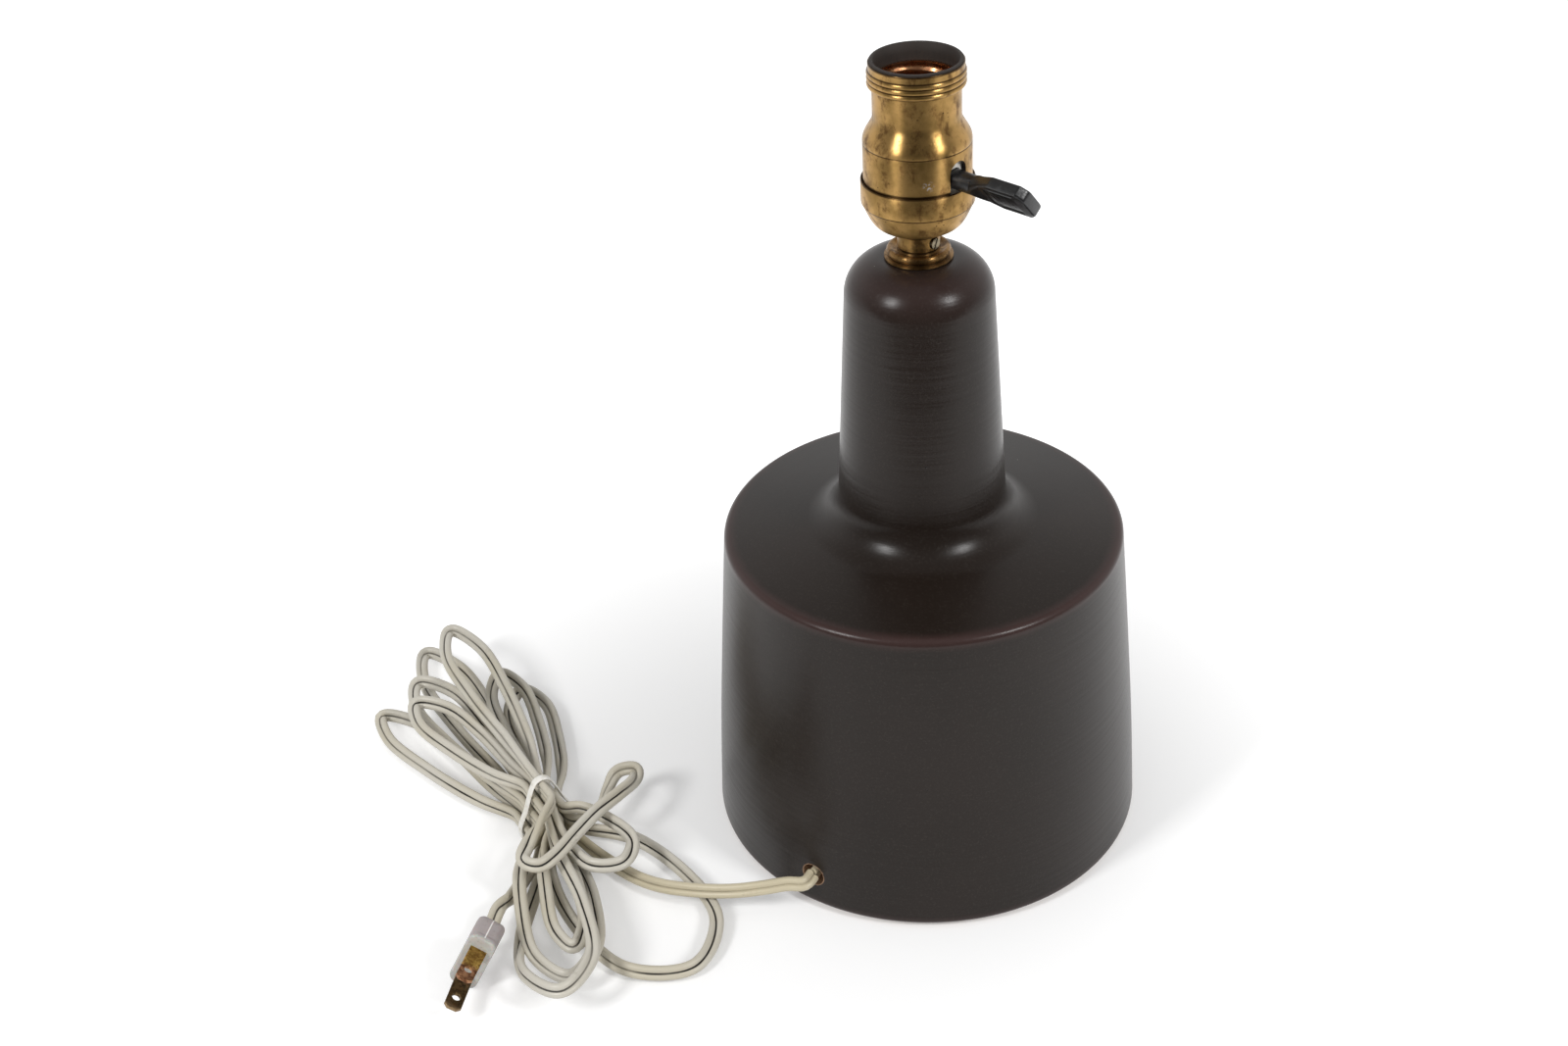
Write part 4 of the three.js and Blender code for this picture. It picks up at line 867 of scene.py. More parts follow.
def face_stations():
    half_width, half_height = BODY_HALF_WIDTH - FACE_INSET, BODY_HALF_HEIGHT - FACE_INSET
    stations = [(FACE_START, *END_SECTION), (FACE_START, half_width, half_height, FACE_CORNER)]
    for x, y in arc(0, 0, FACE_EDGE, 0, 90, FACE_STEPS):
        distance, edge = FACE_FRONT - FACE_EDGE + y, FACE_EDGE - x
        stations.append((distance, half_width - edge, half_height - edge, FACE_CORNER - edge / 2))
    return [*stations, (FACE_FRONT, *END_SECTION)]


def blade_mesh(height, bend, swing):
    """A blade that comes out of the face, bent down and to one side a little at its root."""
    w, c, end = BLADE_HALF_WIDTH, BLADE_CHAMFER, -BLADE_LENGTH
    outline = [
        (-w, BLADE_ROOT), (w, BLADE_ROOT), (w, end + c), (w - c, end), (c - w, end), (-w, end + c),
    ]
    hole = circle(0, -BLADE_HOLE_AT, BLADE_HOLE, 24)
    mesh = plate_mesh([outline, hole], BLADE_THICKNESS, BLADE_EDGE)
    out = Matrix.Translation((0, -FACE_FRONT * MM, height * MM))
    mesh.transform(out @ Matrix.Rotation(swing, 4, "Z") @ Matrix.Rotation(bend, 4, "X"))
    return mesh


def add_plug_piece(name, mesh, finish, node):
    return add_piece(name, mesh, finish, [node], place=PLUG_FRAME)


grip = add_plug_piece(
    "vinyl_body", loft_mesh(body_stations()), mauve_plastic, "plug_grip",
)
face = add_plug_piece(
    "milky_face", loft_mesh(face_stations()), milky_plastic, "plug_housing",
)
for name, side, bend, swing in (("upper", 1, 0, 0), ("lower", -1, BLADE_BEND, BLADE_SWING)):
    mesh = blade_mesh(side * BLADE_SPACING / 2, bend, swing)
    node = "plug_blade_" + name
    add_plug_piece("blade_" + name, mesh, blade_brass, node)

# %% [markdown]
# Where the cord leaves the lamp is worked out here, and its route is taken in metres. The whole
# cord can be seen in the photograph, so its length is the length of its route.

cord_exit = hole_point(HOLE_MOUTH) * MM
[point * MM for point in cord_path]
print("cord leaves the lamp at", [round(value, 4) for value in cord_exit])

# %% [markdown]
# ## The glaze
# The glaze is a satin brown-black. Where it runs thin, over the shoulder's edge and round the top
# of the neck, iron in the clay shows through as a dull red. The surface has a very fine grain, a
# few pin holes, and specks of dust. In the cord's hole and under the foot there is no glaze, and
# the bare clay is tan. All of these places are found from the distance to an edge circle or to
# the hole's own line, in the bottle's coordinates.

# %% Glaze finish
# Each edge: radius and height of its circle, how far the thin glaze reaches, and how thin it is
GLAZE_EDGES = ((72.2, 125.4, 4.5, 0.6), (22.5, 231.6, 15, 0.3), (81.0, 3.2, 3, 0.4))
BARE_ROUND_HOLE = (4.9, 4.6)
BARE_UNDER = (2.4, 1.9)
BARE_WITHIN = (66.5, 65.9)
BARE_BELOW = (45, 44)
HOLE_SIDE_FROM = 0.02


def glaze_finish():
    finish = Finish("dark_glaze", IOR=1.5, Specular_IOR_Level=0.25)
    x, y, z = map(finish.axis, "XYZ")
    radius = (x * x + y * y) ** 0.5
    wander = (finish.noise(9, 3) - 0.5) * (1.4 * MM)
    thin = 0.0
    for edge_radius, edge_z, reach, amount in GLAZE_EDGES:
        out, up = radius - edge_radius * MM, z - edge_z * MM
        away = (out * out + up * up) ** 0.5 + wander
        thin = finish.fade_mm(away, reach, 0) * amount + thin
    clouds = finish.fade(finish.noise(46, 3), 0.3, 0.7)
    grain = finish.noise(0.9, 5, rough=0.75)
    frost = finish.fade(grain, 0.5, 0.72)
    dark = finish.mix(clouds, (0.0128, 0.0086, 0.0064), (0.0155, 0.0102, 0.0078))
    satin = finish.mix(frost * 0.5, dark, (0.038, 0.031, 0.026))
    red = finish.mix(thin, satin, (0.058, 0.031, 0.029))
    pits = finish.specks(13, 0.35, 0.16)
    dust = finish.specks(17, 0.22, 0.3)
    marked = finish.mix(dust, finish.mix(pits, red, (0.006, 0.005, 0.005)), (0.3, 0.29, 0.27))
    across = x * HOLE_DIRECTION.y - y * HOLE_DIRECTION.x
    level = z - HOLE_Z * MM
    front = (x * HOLE_DIRECTION.x + y * HOLE_DIRECTION.y) > HOLE_SIDE_FROM
    edge = (across * across + level * level) ** 0.5 + (finish.noise(1.2, 3) - 0.5) * (0.5 * MM)
    bare = finish.fade_mm(edge, *BARE_ROUND_HOLE) * front
    under = finish.fade_mm(z, *BARE_UNDER)
    inside = finish.fade_mm(radius, *BARE_WITHIN) * finish.fade_mm(z, *BARE_BELOW)
    unglazed = bare.at_least(under).at_least(inside)
    clay = finish.mix(finish.noise(1.5, 4), (0.42, 0.27, 0.17), (0.27, 0.16, 0.1))
    throwing = finish.noise(60, 2, (1, 1, 26))
    rough_clay = unglazed * finish.noise(0.6) * 1.5
    finish.relief(grain * 0.12 + throwing * 0.8 - pits * 1.5 + rough_clay, 0.1)
    return finish.done(finish.mix(unglazed, marked, clay), 0.285 + frost * 0.08 + unglazed * 0.45)


dark_glaze = glaze_finish()

# %% [markdown]
# ## The bottle
# The bottle was thrown on a wheel, so it is a profile turned round its axis. The side bows a
# little between foot and shoulder, a small rounding leads on to the shoulder's slope, a wide
# fillet runs up into the neck, and the neck ends in a broad round. The inside is turned in the
# same loop, which leaves one closed body with a real wall. The cord's hole is carved last.

# %% Turned pieces and the bottle's sizes
FOOT_Z = 1.7
BODY_TOP = 234.5
FOOT_RADIUS, FOOT_ROUNDING = 81.8, 2.4
BELLY_RADIUS, BELLY_Z = 79.2, 48.0
SHOULDER_RADIUS, SHOULDER_Z, SHOULDER_ROUNDING, SHOULDER_RISE = 73.2, 126.3, 2.6, 3.2
FILLET_RADIUS, NECK_FOOT_RADIUS = 14.3, 30.2
NECK_TOP_RADIUS, NECK_ROUNDING = 25.9, 13.8
PIPE_HOLE, WALL = 5.65, 6
RECESS_ROOF, FLOOR_TOP = 37.7, 43.7
RECESS_FOOT, RECESS_TOP, RECESS_ROUNDING = 65.4, 63.4, 5
FILLET_MIDDLE = NECK_FOOT_RADIUS + FILLET_RADIUS
FILLET_Z = SHOULDER_Z + SHOULDER_RISE + FILLET_RADIUS
NECK_MIDDLE, NECK_Z = NECK_TOP_RADIUS - NECK_ROUNDING, BODY_TOP - NECK_ROUNDING
HOLE_RADIUS = 4.5
DRILL_START, DRILL_END, DRILL_SIDES = 20, 90, 48
FINE_SIDES = 192


def turned_mesh(outline_at, sides):
    """A closed outline of (radius, height), which may differ at each angle, turned round +Z."""
    rings = []
    for k in range(sides):
        angle = 2 * math.pi * k / sides
        c, s = math.cos(angle), math.sin(angle)
        rings.append([(radius * c, radius * s, height) for radius, height in outline_at(angle)])
    return joined_rings(rings, closed=True)


def turned(profile, sides=FINE_SIDES):
    return turned_mesh(lambda angle: profile, sides)


def radial_solid(outline, start, end, angle):
    """An outline of (sideways, height), drawn away from the axis at an angle from the front."""
    mesh = joined_rings([[(x, -distance, z) for x, z in outline] for distance in (start, end)])
    mesh.transform(Matrix.Rotation(angle, 4, "Z"))
    return mesh


def carve(mesh, cutter):
    """The mesh less the cutter's mesh."""
    carved, tool = in_scene("carved", mesh), in_scene("cutter", cutter)
    carving = carved.modifiers.new("carving", "BOOLEAN")
    carving.object = tool
    carving.solver = "EXACT"
    mesh = shown_mesh(carved)
    bpy.data.objects.remove(tool)
    return mesh


print("bottle", BODY_TOP, "mm high")

# %% [markdown]
# The bottle's outside runs from the foot up to the neck's top, and its inside comes back down
# through the wall, over the floor and round the recess under it.


# %% The bottle
def bottle_outside():
    side = profile_curve([
        (FOOT_RADIUS, FOOT_Z + FOOT_ROUNDING),
        (BELLY_RADIUS, BELLY_Z),
        (SHOULDER_RADIUS, SHOULDER_Z - SHOULDER_ROUNDING),
    ], 16)
    shoulder = SHOULDER_RADIUS - SHOULDER_ROUNDING
    slope = math.degrees(math.atan2(SHOULDER_RISE, shoulder - FILLET_MIDDLE))
    return [
        *arc(FOOT_RADIUS - FOOT_ROUNDING, FOOT_Z + FOOT_ROUNDING, FOOT_ROUNDING, -90, 0, 8),
        *side[1:-1],
        *arc(shoulder, SHOULDER_Z - SHOULDER_ROUNDING, SHOULDER_ROUNDING, 0, 90 - slope, 10),
        *arc(FILLET_MIDDLE, FILLET_Z, FILLET_RADIUS, 270 - slope, 180, 20),
        *arc(NECK_MIDDLE, NECK_Z, NECK_ROUNDING, 0, 90, 20),
    ]


def bottle_inside():
    return [
        (PIPE_HOLE, BODY_TOP),
        (PIPE_HOLE, BODY_TOP - WALL),
        *arc(NECK_MIDDLE, NECK_Z, NECK_ROUNDING - WALL, 90, 0, 6),
        *arc(FILLET_MIDDLE, FILLET_Z, FILLET_RADIUS + WALL, 180, 265, 6),
        (SHOULDER_RADIUS - WALL, SHOULDER_Z - WALL),
        (BELLY_RADIUS - WALL, FLOOR_TOP + RECESS_ROUNDING),
        (BELLY_RADIUS - WALL - RECESS_ROUNDING, FLOOR_TOP),
        (PIPE_HOLE, FLOOR_TOP),
        (PIPE_HOLE, RECESS_ROOF),
        (RECESS_TOP - RECESS_ROUNDING, RECESS_ROOF),
        (RECESS_TOP, RECESS_ROOF - RECESS_ROUNDING),
        (RECESS_FOOT, FOOT_Z),
    ]


hole_outline = circle(0, HOLE_Z, HOLE_RADIUS, DRILL_SIDES)
drill = radial_solid(hole_outline, DRILL_START, DRILL_END, HOLE_ANGLE)
bottle_mesh = carve(turned([*bottle_outside(), *bottle_inside()]), drill)
add_piece("glazed_bottle", bottle_mesh, dark_glaze, ["ceramic_body"], corner=32)

# %% [markdown]
# ## Old brass
# The lampholder is spun brass that was once lacquered. It has turned olive and brown in patches,
# with dark spots where the lacquer failed, and it stays bright where hands rub it. Spinning
# leaves fine rings round every piece, and they draw its highlights out up and down: the
# shader's anisotropy, turned by a quarter, does the same. Dirt gathers in the beads and rims.
# Metal shows its surroundings, so its colour is the tint of what it mirrors, and its roughness
# says how blurred that is.

# %% Brass finishes
SCUFF, SCUFF_REACH = (3.26, -17.76, 267.4), 2.6

# Each line of dirt: its height and half its width in mm
DIRT_LINES = (
    (295.6, 0.5), (297.5, 0.3), (299.3, 0.3), (301.1, 0.35), (303.4, 0.5),
    (276.5, 0.3), (263.6, 0.7), (255.4, 0.4), (244.1, 0.9),
)


def brass_finish(name, bright, olive, brown, browned, dirt_lines=()):
    finish = Finish(name, Metallic=1.0, Anisotropic=0.85, Anisotropic_Rotation=0.25)
    clouds = finish.fade(finish.noise(9, 4, rough=0.6), 0.38, 0.66)
    patches = finish.noise(4.5, 6, (1, 1, 0.7), 0.68)
    patches = finish.fade(patches, 0.56 - browned, 0.74 - browned)
    spots = finish.specks(1.9, 0.34, 0.4) * finish.fade(finish.noise(7, 2), 0.45, 0.6)
    fine = finish.fade(finish.noise(0.8, 5, rough=0.7), 0.62, 0.74) * 0.6
    base = finish.mix(clouds, bright, olive)
    aged = finish.mix(patches * 0.75, base, brown)
    spotted = finish.mix(spots, finish.mix(fine, aged, brown), (0.03, 0.018, 0.008))
    scratched = finish.fade(finish.noise(1.1, 5, rough=0.7), 0.5, 0.56)
    scuff = finish.near_point(SCUFF, SCUFF_REACH) * scratched
    if dirt_lines:
        level = finish.axis("Z") + (finish.noise(5, 3) - 0.5) * (0.15 * MM)
        lines = 0.0
        for height, half in dirt_lines:
            away = level - height * MM
            lines = finish.fade(away * away, (half * MM) ** 2, 0) + lines
        spotted = finish.mix(lines * 0.85, spotted, (0.05, 0.026, 0.011))
    color = finish.mix(scuff, spotted, (0.75, 0.73, 0.7))
    rings = finish.noise(30, 3, (0.02, 0.02, 90))
    finish.relief(rings * 0.5 + finish.noise(1.2, 3) * 0.35 - spots, 0.035)
    return finish.done(color, 0.34 + patches * 0.16 + fine * 0.15 + scuff * 0.3)


aged_brass = brass_finish(
    "aged_brass", bright=(0.47, 0.285, 0.1), olive=(0.29, 0.176, 0.056),
    brown=(0.11, 0.052, 0.018), browned=0.07, dirt_lines=DIRT_LINES,
)
dark_brass = brass_finish(
    "dark_brass", bright=(0.26, 0.15, 0.055), olive=(0.17, 0.095, 0.035),
    brown=(0.07, 0.036, 0.014), browned=0.12,
)

# %% [markdown]
# ## The lampholder's cap and its rings
# The cap is a bowl on a short collar with a set screw, and two turned rings lie between it and
# the bottle. Every profile is a closed loop with a wall thickness, and small roundings catch the
# light at the rims. The screw's slot is carved by a thin box that stands at a slant.

# %% Cap, set screw and neck rings
CAP_Z, BOWL_Z, BOWL_FLOOR, BAND_Z, CAP_LIP = 238.6, 243.9, 245.2, 255.3, 263.5
COLLAR_RADIUS, COLLAR_HOLE, COLLAR_EDGE = 7.2, 5.05, 0.25
CAP_RADIUS, CAP_WALL = 19.05, 0.5
BOWL_FOOT = [(7.4, BOWL_Z + 0.15), (7.9, BOWL_Z + 0.35)]
BOWL_KNOTS = [(8.0, 244.7), (14.86, 248.0), (18.75, BAND_Z)]
BAND_EDGE = [(18.8, BAND_Z + 0.15), (19.0, BAND_Z + 0.3), (CAP_RADIUS, BAND_Z + 0.6)]
LIP_EDGE = [
    (CAP_RADIUS, CAP_LIP - 0.25), (CAP_RADIUS - 0.12, CAP_LIP - 0.05),
    (CAP_RADIUS - 0.25, CAP_LIP), (CAP_RADIUS - CAP_WALL + 0.1, CAP_LIP - 0.05),
    (CAP_RADIUS - CAP_WALL, CAP_LIP - 0.2),
]
SCREW_Z, SCREW_ANGLE = 241.25, math.radians(47)
SCREW_HOLE, SCREW_HOLE_END, SCREW_HOLE_SIDES = 2.1, 12, 32
SCREW_RADIUS, SCREW_SIDES, SCREW_END = 1.9, 40, COLLAR_RADIUS + 0.7
SCREW_SLOT_HALF, SCREW_SLOT_DEPTH, SCREW_SLOT_REACH = 0.3, 0.6, 2.6
SCREW_SLOT_LEAN = math.radians(25)
CHECK_RING = [
    (COLLAR_HOLE, 235.7), (9.6, 235.7), (10.3, 235.85), (10.75, 236.3), (10.9, 236.95),
    (10.85, 237.6), (10.55, 238.1), (10.1, 238.38), (9.6, 238.4), (9.15, 238.2),
    (8.7, 237.75), (8.1, 237.5), (7.4, 237.55), (7.2, 238.1),
    (COLLAR_HOLE, 238.2),
]
CHECK_RING_SIDES = 128
NECK_DISC = [
    (COLLAR_HOLE, 234.7), (11.65, 234.7), (11.8, 234.9), (11.75, 235.4), (11.5, 235.5),
    (COLLAR_HOLE, 235.5),
]
NECK_DISC_SIDES = 96


def cap_mesh():
    bowl = profile_curve(BOWL_KNOTS, 14)
    profile = [
        (COLLAR_HOLE, CAP_Z + 0.1), (COLLAR_RADIUS - COLLAR_EDGE, CAP_Z),
        (COLLAR_RADIUS, CAP_Z + COLLAR_EDGE), (COLLAR_RADIUS, BOWL_Z - 0.2),
        *BOWL_FOOT, *bowl, *BAND_EDGE, *LIP_EDGE,
        (CAP_RADIUS - CAP_WALL, BAND_Z),
        *[(radius - CAP_WALL, height + CAP_WALL) for radius, height in reversed(bowl[1:-1])],
        (COLLAR_HOLE, BOWL_FLOOR),
    ]
    hole = circle(0, SCREW_Z, SCREW_HOLE, SCREW_HOLE_SIDES)
    return carve(turned(profile), radial_solid(hole, 0, SCREW_HOLE_END, SCREW_ANGLE))


def screw_mesh():
    outline = circle(0, SCREW_Z, SCREW_RADIUS, SCREW_SIDES)
    screw = radial_solid(outline, COLLAR_HOLE, SCREW_END, SCREW_ANGLE)
    deep, tall = SCREW_SLOT_DEPTH, SCREW_SLOT_REACH
    corners = [(-deep, -tall), (deep, -tall), (deep, tall), (-deep, tall)]
    sides = (-SCREW_SLOT_HALF, SCREW_SLOT_HALF)
    slot = joined_rings([[(x, y, z) for y, z in corners] for x in sides])
    lean = Matrix.Rotation(SCREW_SLOT_LEAN, 4, "Y")
    out = Matrix.Translation((0, -SCREW_END * MM, SCREW_Z * MM))
    slot.transform(Matrix.Rotation(SCREW_ANGLE, 4, "Z") @ out @ lean)
    return carve(screw, slot)


def stained_finish(name, stains, colors, grain, roughness, **constants):
    """Stains over a plain colour, with a fine grain.

    Stains are (size, detail, rough, low, high) and grain is (size, depth). Roughness is that of
    the plain colour, and what the stains add to it.
    """
    finish = Finish(name, **constants)
    size, detail, rough, low, high = stains
    share = finish.fade(finish.noise(size, detail, rough=rough), low, high)
    finish.relief(finish.noise(grain[0]), grain[1])
    return finish.done(finish.mix(share, *colors), roughness[0] + share * roughness[1])


zinc_steel = stained_finish(
    "zinc_steel", (2.5, 5, 0.65, 0.4, 0.65), [(0.26, 0.22, 0.15), (0.12, 0.1, 0.07)],
    grain=(0.6, 0.03), roughness=(0.32, 0.25), Metallic=1.0,
)
check_ring = turned(CHECK_RING, CHECK_RING_SIDES)
neck_disc = turned(NECK_DISC, NECK_DISC_SIDES)
add_piece("spun_cap", cap_mesh(), aged_brass, ["socket_cap"])
add_piece("collar_screw", screw_mesh(), zinc_steel, ["set_screw"])
add_piece("seat_ring", check_ring, dark_brass, ["check_ring"])
add_piece("neck_disc", neck_disc, dark_brass, ["neck_washer"])

# %% [markdown]
# ## The lampholder's shell
# The shell pushes into the cap. It narrows to a throat and ends in three rolled beads and a
# plain mouth. A score line runs round it, and a slot that is open at its lower rim lets the
# key's stem pass.

# %% Shell with its key slot
SHELL_Z, SHELL_BODY_TOP, THROAT_Z = 256.5, 277.0, 285.6
BEADS_Z, MOUTH_Z, SHELL_TOP = 295.7, 301.1, 303.5
SHELL_RADIUS, SHELL_WALL, THROAT_RADIUS, MOUTH_RADIUS = 18.06, 0.35, 14.6, 15.7
BEADS, BEAD_PITCH, BEAD_HEIGHT, BEAD_FOOT, BEAD_ARC = 3, 1.8, 0.7, 15.5, 72
SCORE_Z, SCORE_HALF, SCORE_DEPTH = 276.5, 0.25, 0.1
KEY_ANGLE = math.radians(47.6)
KEY_Z = 267.2
SLOT_HALF, SLOT_TOP, SLOT_ROUND_STEPS = 3.8, 269.9, 16
SLOT_FOOT = SHELL_Z - 3
SLOT_START, SHELL_SLOT_END = 8, 19.2


def flare_profile(body, throat, bottom, top, steps=20):
    """The narrowing from body to throat: it leaves both of them upright."""
    points = []
    for k in range(steps + 1):
        share = k / steps
        eased_share = (1 - math.cos(math.pi * share)) / 2
        points.append((body + (throat - body) * eased_share, bottom + (top - bottom) * share))
    return points


def bead_profile():
    half = BEAD_PITCH / 2
    points = []
    for k in range(BEADS):
        round_bead = arc(0, BEADS_Z + BEAD_PITCH * (k + 0.5), half, -BEAD_ARC, BEAD_ARC, 8)
        points += [(BEAD_FOOT + x * BEAD_HEIGHT / half, height) for x, height in round_bead]
    return points


def shell_outside():
    return [
        (SHELL_RADIUS, SHELL_Z),
        (SHELL_RADIUS, SCORE_Z - SCORE_HALF),
        (SHELL_RADIUS - SCORE_DEPTH, SCORE_Z),
        (SHELL_RADIUS, SCORE_Z + SCORE_HALF),
        *flare_profile(SHELL_RADIUS, THROAT_RADIUS, SHELL_BODY_TOP, THROAT_Z),
        (THROAT_RADIUS, BEADS_Z - 0.4), (THROAT_RADIUS + 0.25, BEADS_Z - 0.05),
        *bead_profile(),
        (MOUTH_RADIUS, MOUTH_Z + 0.25),
        (MOUTH_RADIUS, SHELL_TOP - 0.15), (MOUTH_RADIUS - 0.1, SHELL_TOP),
    ]


def slot_cutter(half, top, end):
    """A slot with a round top, open below."""
    arch = arc(0, top, half, 0, 180, SLOT_ROUND_STEPS)
    return radial_solid([(half, SLOT_FOOT), *arch, (-half, SLOT_FOOT)], SLOT_START, end, KEY_ANGLE)


def shell_mesh():
    wall = SHELL_RADIUS - SHELL_WALL
    throat = THROAT_RADIUS - SHELL_WALL
    inside = flare_profile(wall, throat, SHELL_BODY_TOP - SHELL_WALL, THROAT_Z - SHELL_WALL)[::-1]
    profile = [
        *shell_outside(),
        (MOUTH_RADIUS - SHELL_WALL, SHELL_TOP), (MOUTH_RADIUS - SHELL_WALL, MOUTH_Z),
        (throat, MOUTH_Z - SHELL_WALL), *inside, (wall, SHELL_Z),
    ]
    return carve(turned(profile), slot_cutter(SLOT_HALF, SLOT_TOP, SHELL_SLOT_END))


add_piece("spun_shell", shell_mesh(), aged_brass, ["socket_shell"], corner=30)

# %% [markdown]
# ## Inside the lampholder
# A sleeve of pressed fibre lines the shell and shows as a dark rim round its mouth. Inside it is
# the threaded shell of copper that the bulb screws into. Its thread is rolled, so inside and
# outside have the same wave, which fades at both ends. The porcelain block and the contacts are
# deep inside, and keep the model's own shapes.


# %% Fibre, copper, porcelain and the small metal parts
def fibre_finish():
    finish = Finish("pressed_fibre")
    weave = finish.noise(1.1, 5, (1, 1, 0.3), 0.7)
    color = finish.mix(weave, (0.013, 0.009, 0.007), (0.034, 0.023, 0.017))
    finish.relief(weave, 0.08)
    return finish.done(color, 0.55 + weave * 0.3)


def felt_finish():
    finish = Finish("pressed_felt", Sheen_Weight=0.4)
    fluff = finish.noise(0.35, 5, rough=0.75)
    color = finish.mix(fluff, (0.012, 0.02, 0.011), (0.035, 0.05, 0.03))
    finish.relief(fluff, 0.25)
    return finish.done(color, 0.85 + fluff * 0.1)


def plastic_finish():
    finish = Finish("dark_plastic", IOR=1.5)
    wear = finish.fade(finish.noise(2.4, 5, rough=0.7), 0.5, 0.72)
    scratches = finish.fade(finish.noise(1.2, 4, (1, 0.12, 1)), 0.6, 0.7)
    color = finish.mix(wear * 0.6 + scratches * 0.3, (0.0085, 0.0085, 0.009), (0.04, 0.04, 0.041))
    finish.relief(finish.noise(0.5, 4) - scratches * 0.4, 0.04)
    return finish.done(color, 0.3 + wear * 0.18 + scratches * 0.12)


pressed_fibre = fibre_finish()
rolled_copper = stained_finish(
    "rolled_copper", (3, 5, 0.65, 0.42, 0.68), [(0.5, 0.25, 0.12), (0.22, 0.1, 0.05)],
    grain=(0.7, 0.03), roughness=(0.24, 0.25), Metallic=1.0,
)
switch_porcelain = stained_finish(
    "switch_porcelain", (3, 4, 0.5, 0.45, 0.75), [(0.72, 0.69, 0.63), (0.5, 0.45, 0.37)],
    grain=(0.8, 0.04), roughness=(0.35, 0.3), IOR=1.5,
)
pressed_felt = felt_finish()
spring_bronze = stained_finish(
    "spring_bronze", (1.5, 4, 0.5, 0.4, 0.65), [(0.55, 0.36, 0.16), (0.3, 0.18, 0.08)],
    grain=(0.5, 0.02), roughness=(0.28, 0.2), Metallic=1.0,
)
dark_plastic = plastic_finish()

# %% [markdown]
# The sleeve follows the inside of the shell with a small gap. The copper shell is turned from an
# outline that climbs with the angle, which winds its wave into a thread.

# %% Sleeve and threaded shell
SLEEVE_TOP, SLEEVE_FOOT = 304.2, SHELL_Z + 0.2
SLEEVE_RADIUS, SLEEVE_THROAT, SLEEVE_RIM = 17.61, 14.15, 15.25
SLEEVE_WALL, SLEEVE_RIM_WALL, SLEEVE_EDGE = 0.4, 1.2, 0.2
SLEEVE_DROP, SLEEVE_FLARE_STEPS, SLEEVE_SIDES = 1.2, 12, 128
SLEEVE_SLOT_INSET, SLEEVE_SLOT_END = 0.2, 18.4
SCREW_TOP, SCREW_BOTTOM, SCREW_PITCH = 297.9, 281.565, 3.63
SCREW_MIDDLE, SCREW_WAVE, SCREW_WALL, SCREW_FLOOR, SCREW_LIP = 13.05, 0.55, 0.35, 5, 13.6
SCREW_STEPS, THREAD_SIDES = 72, 120


def sleeve_mesh():
    body, throat, rim, wall = SLEEVE_RADIUS, SLEEVE_THROAT, SLEEVE_RIM, SLEEVE_WALL
    bottom, top = SHELL_BODY_TOP - SLEEVE_DROP, THROAT_Z - SLEEVE_DROP
    outside = flare_profile(body, throat, bottom, top, SLEEVE_FLARE_STEPS)
    inside = [(radius - wall, height - wall) for radius, height in reversed(outside)]
    rim_inside = rim - SLEEVE_RIM_WALL
    profile = [
        (body, SLEEVE_FOOT), *outside,
        (throat, MOUTH_Z - 0.35), (rim, MOUTH_Z + 0.2),
        (rim, SLEEVE_TOP - SLEEVE_EDGE), (rim - SLEEVE_EDGE, SLEEVE_TOP),
        (rim_inside + SLEEVE_EDGE, SLEEVE_TOP), (rim_inside, SLEEVE_TOP - SLEEVE_EDGE),
        (throat - wall, MOUTH_Z - 0.4), *inside,
        (body - wall, SLEEVE_FOOT),
    ]
    slot_half, slot_top = SLOT_HALF - SLEEVE_SLOT_INSET, SLOT_TOP - SLEEVE_SLOT_INSET
    slot = slot_cutter(slot_half, slot_top, SLEEVE_SLOT_END)
    return carve(turned(profile, SLEEVE_SIDES), slot)


def thread_outline(angle):
    outside = []
    for step in range(SCREW_STEPS + 1):
        height = SCREW_BOTTOM + (SCREW_TOP - SCREW_BOTTOM) * step / SCREW_STEPS
        turns = (height - SCREW_BOTTOM) / SCREW_PITCH - angle / (2 * math.pi)
        ends = min(1, (height - SCREW_BOTTOM) / SCREW_PITCH, (SCREW_TOP - height) / SCREW_PITCH)
        wave = SCREW_WAVE * ends * math.cos(2 * math.pi * turns)
        outside.append((SCREW_MIDDLE + wave, height))
    inside = [(radius - SCREW_WALL, height) for radius, height in reversed(outside[1:])]
    bore = SCREW_MIDDLE - SCREW_WALL
    return [
        (SCREW_FLOOR, SCREW_BOTTOM), *outside,
        (SCREW_LIP, SCREW_TOP + SCREW_WALL), (bore, SCREW_TOP + SCREW_WALL), *inside,
        (bore, SCREW_BOTTOM + SCREW_WALL), (SCREW_FLOOR, SCREW_BOTTOM + SCREW_WALL),
    ]


thread = turned_mesh(thread_outline, THREAD_SIDES)
add_piece("fibre_sleeve", sleeve_mesh(), pressed_fibre, ["shell_sleeve"])
add_piece("copper_thread", thread, rolled_copper, ["screw_shell"])

# %% [markdown]
# ## The turn key
# The key is black moulded plastic on the end of the switch's shaft. Its stem is round, and its
# paddle flares out like a flag and rises a little. Both faces of the paddle are ribbed for the
# fingers. It is lofted from its stem to its end, with the ribs in the outline itself, and it
# rides on the body that turns. Its section is a superellipse: as the power grows, the stem's
# circle turns into the paddle's rounded rectangle.

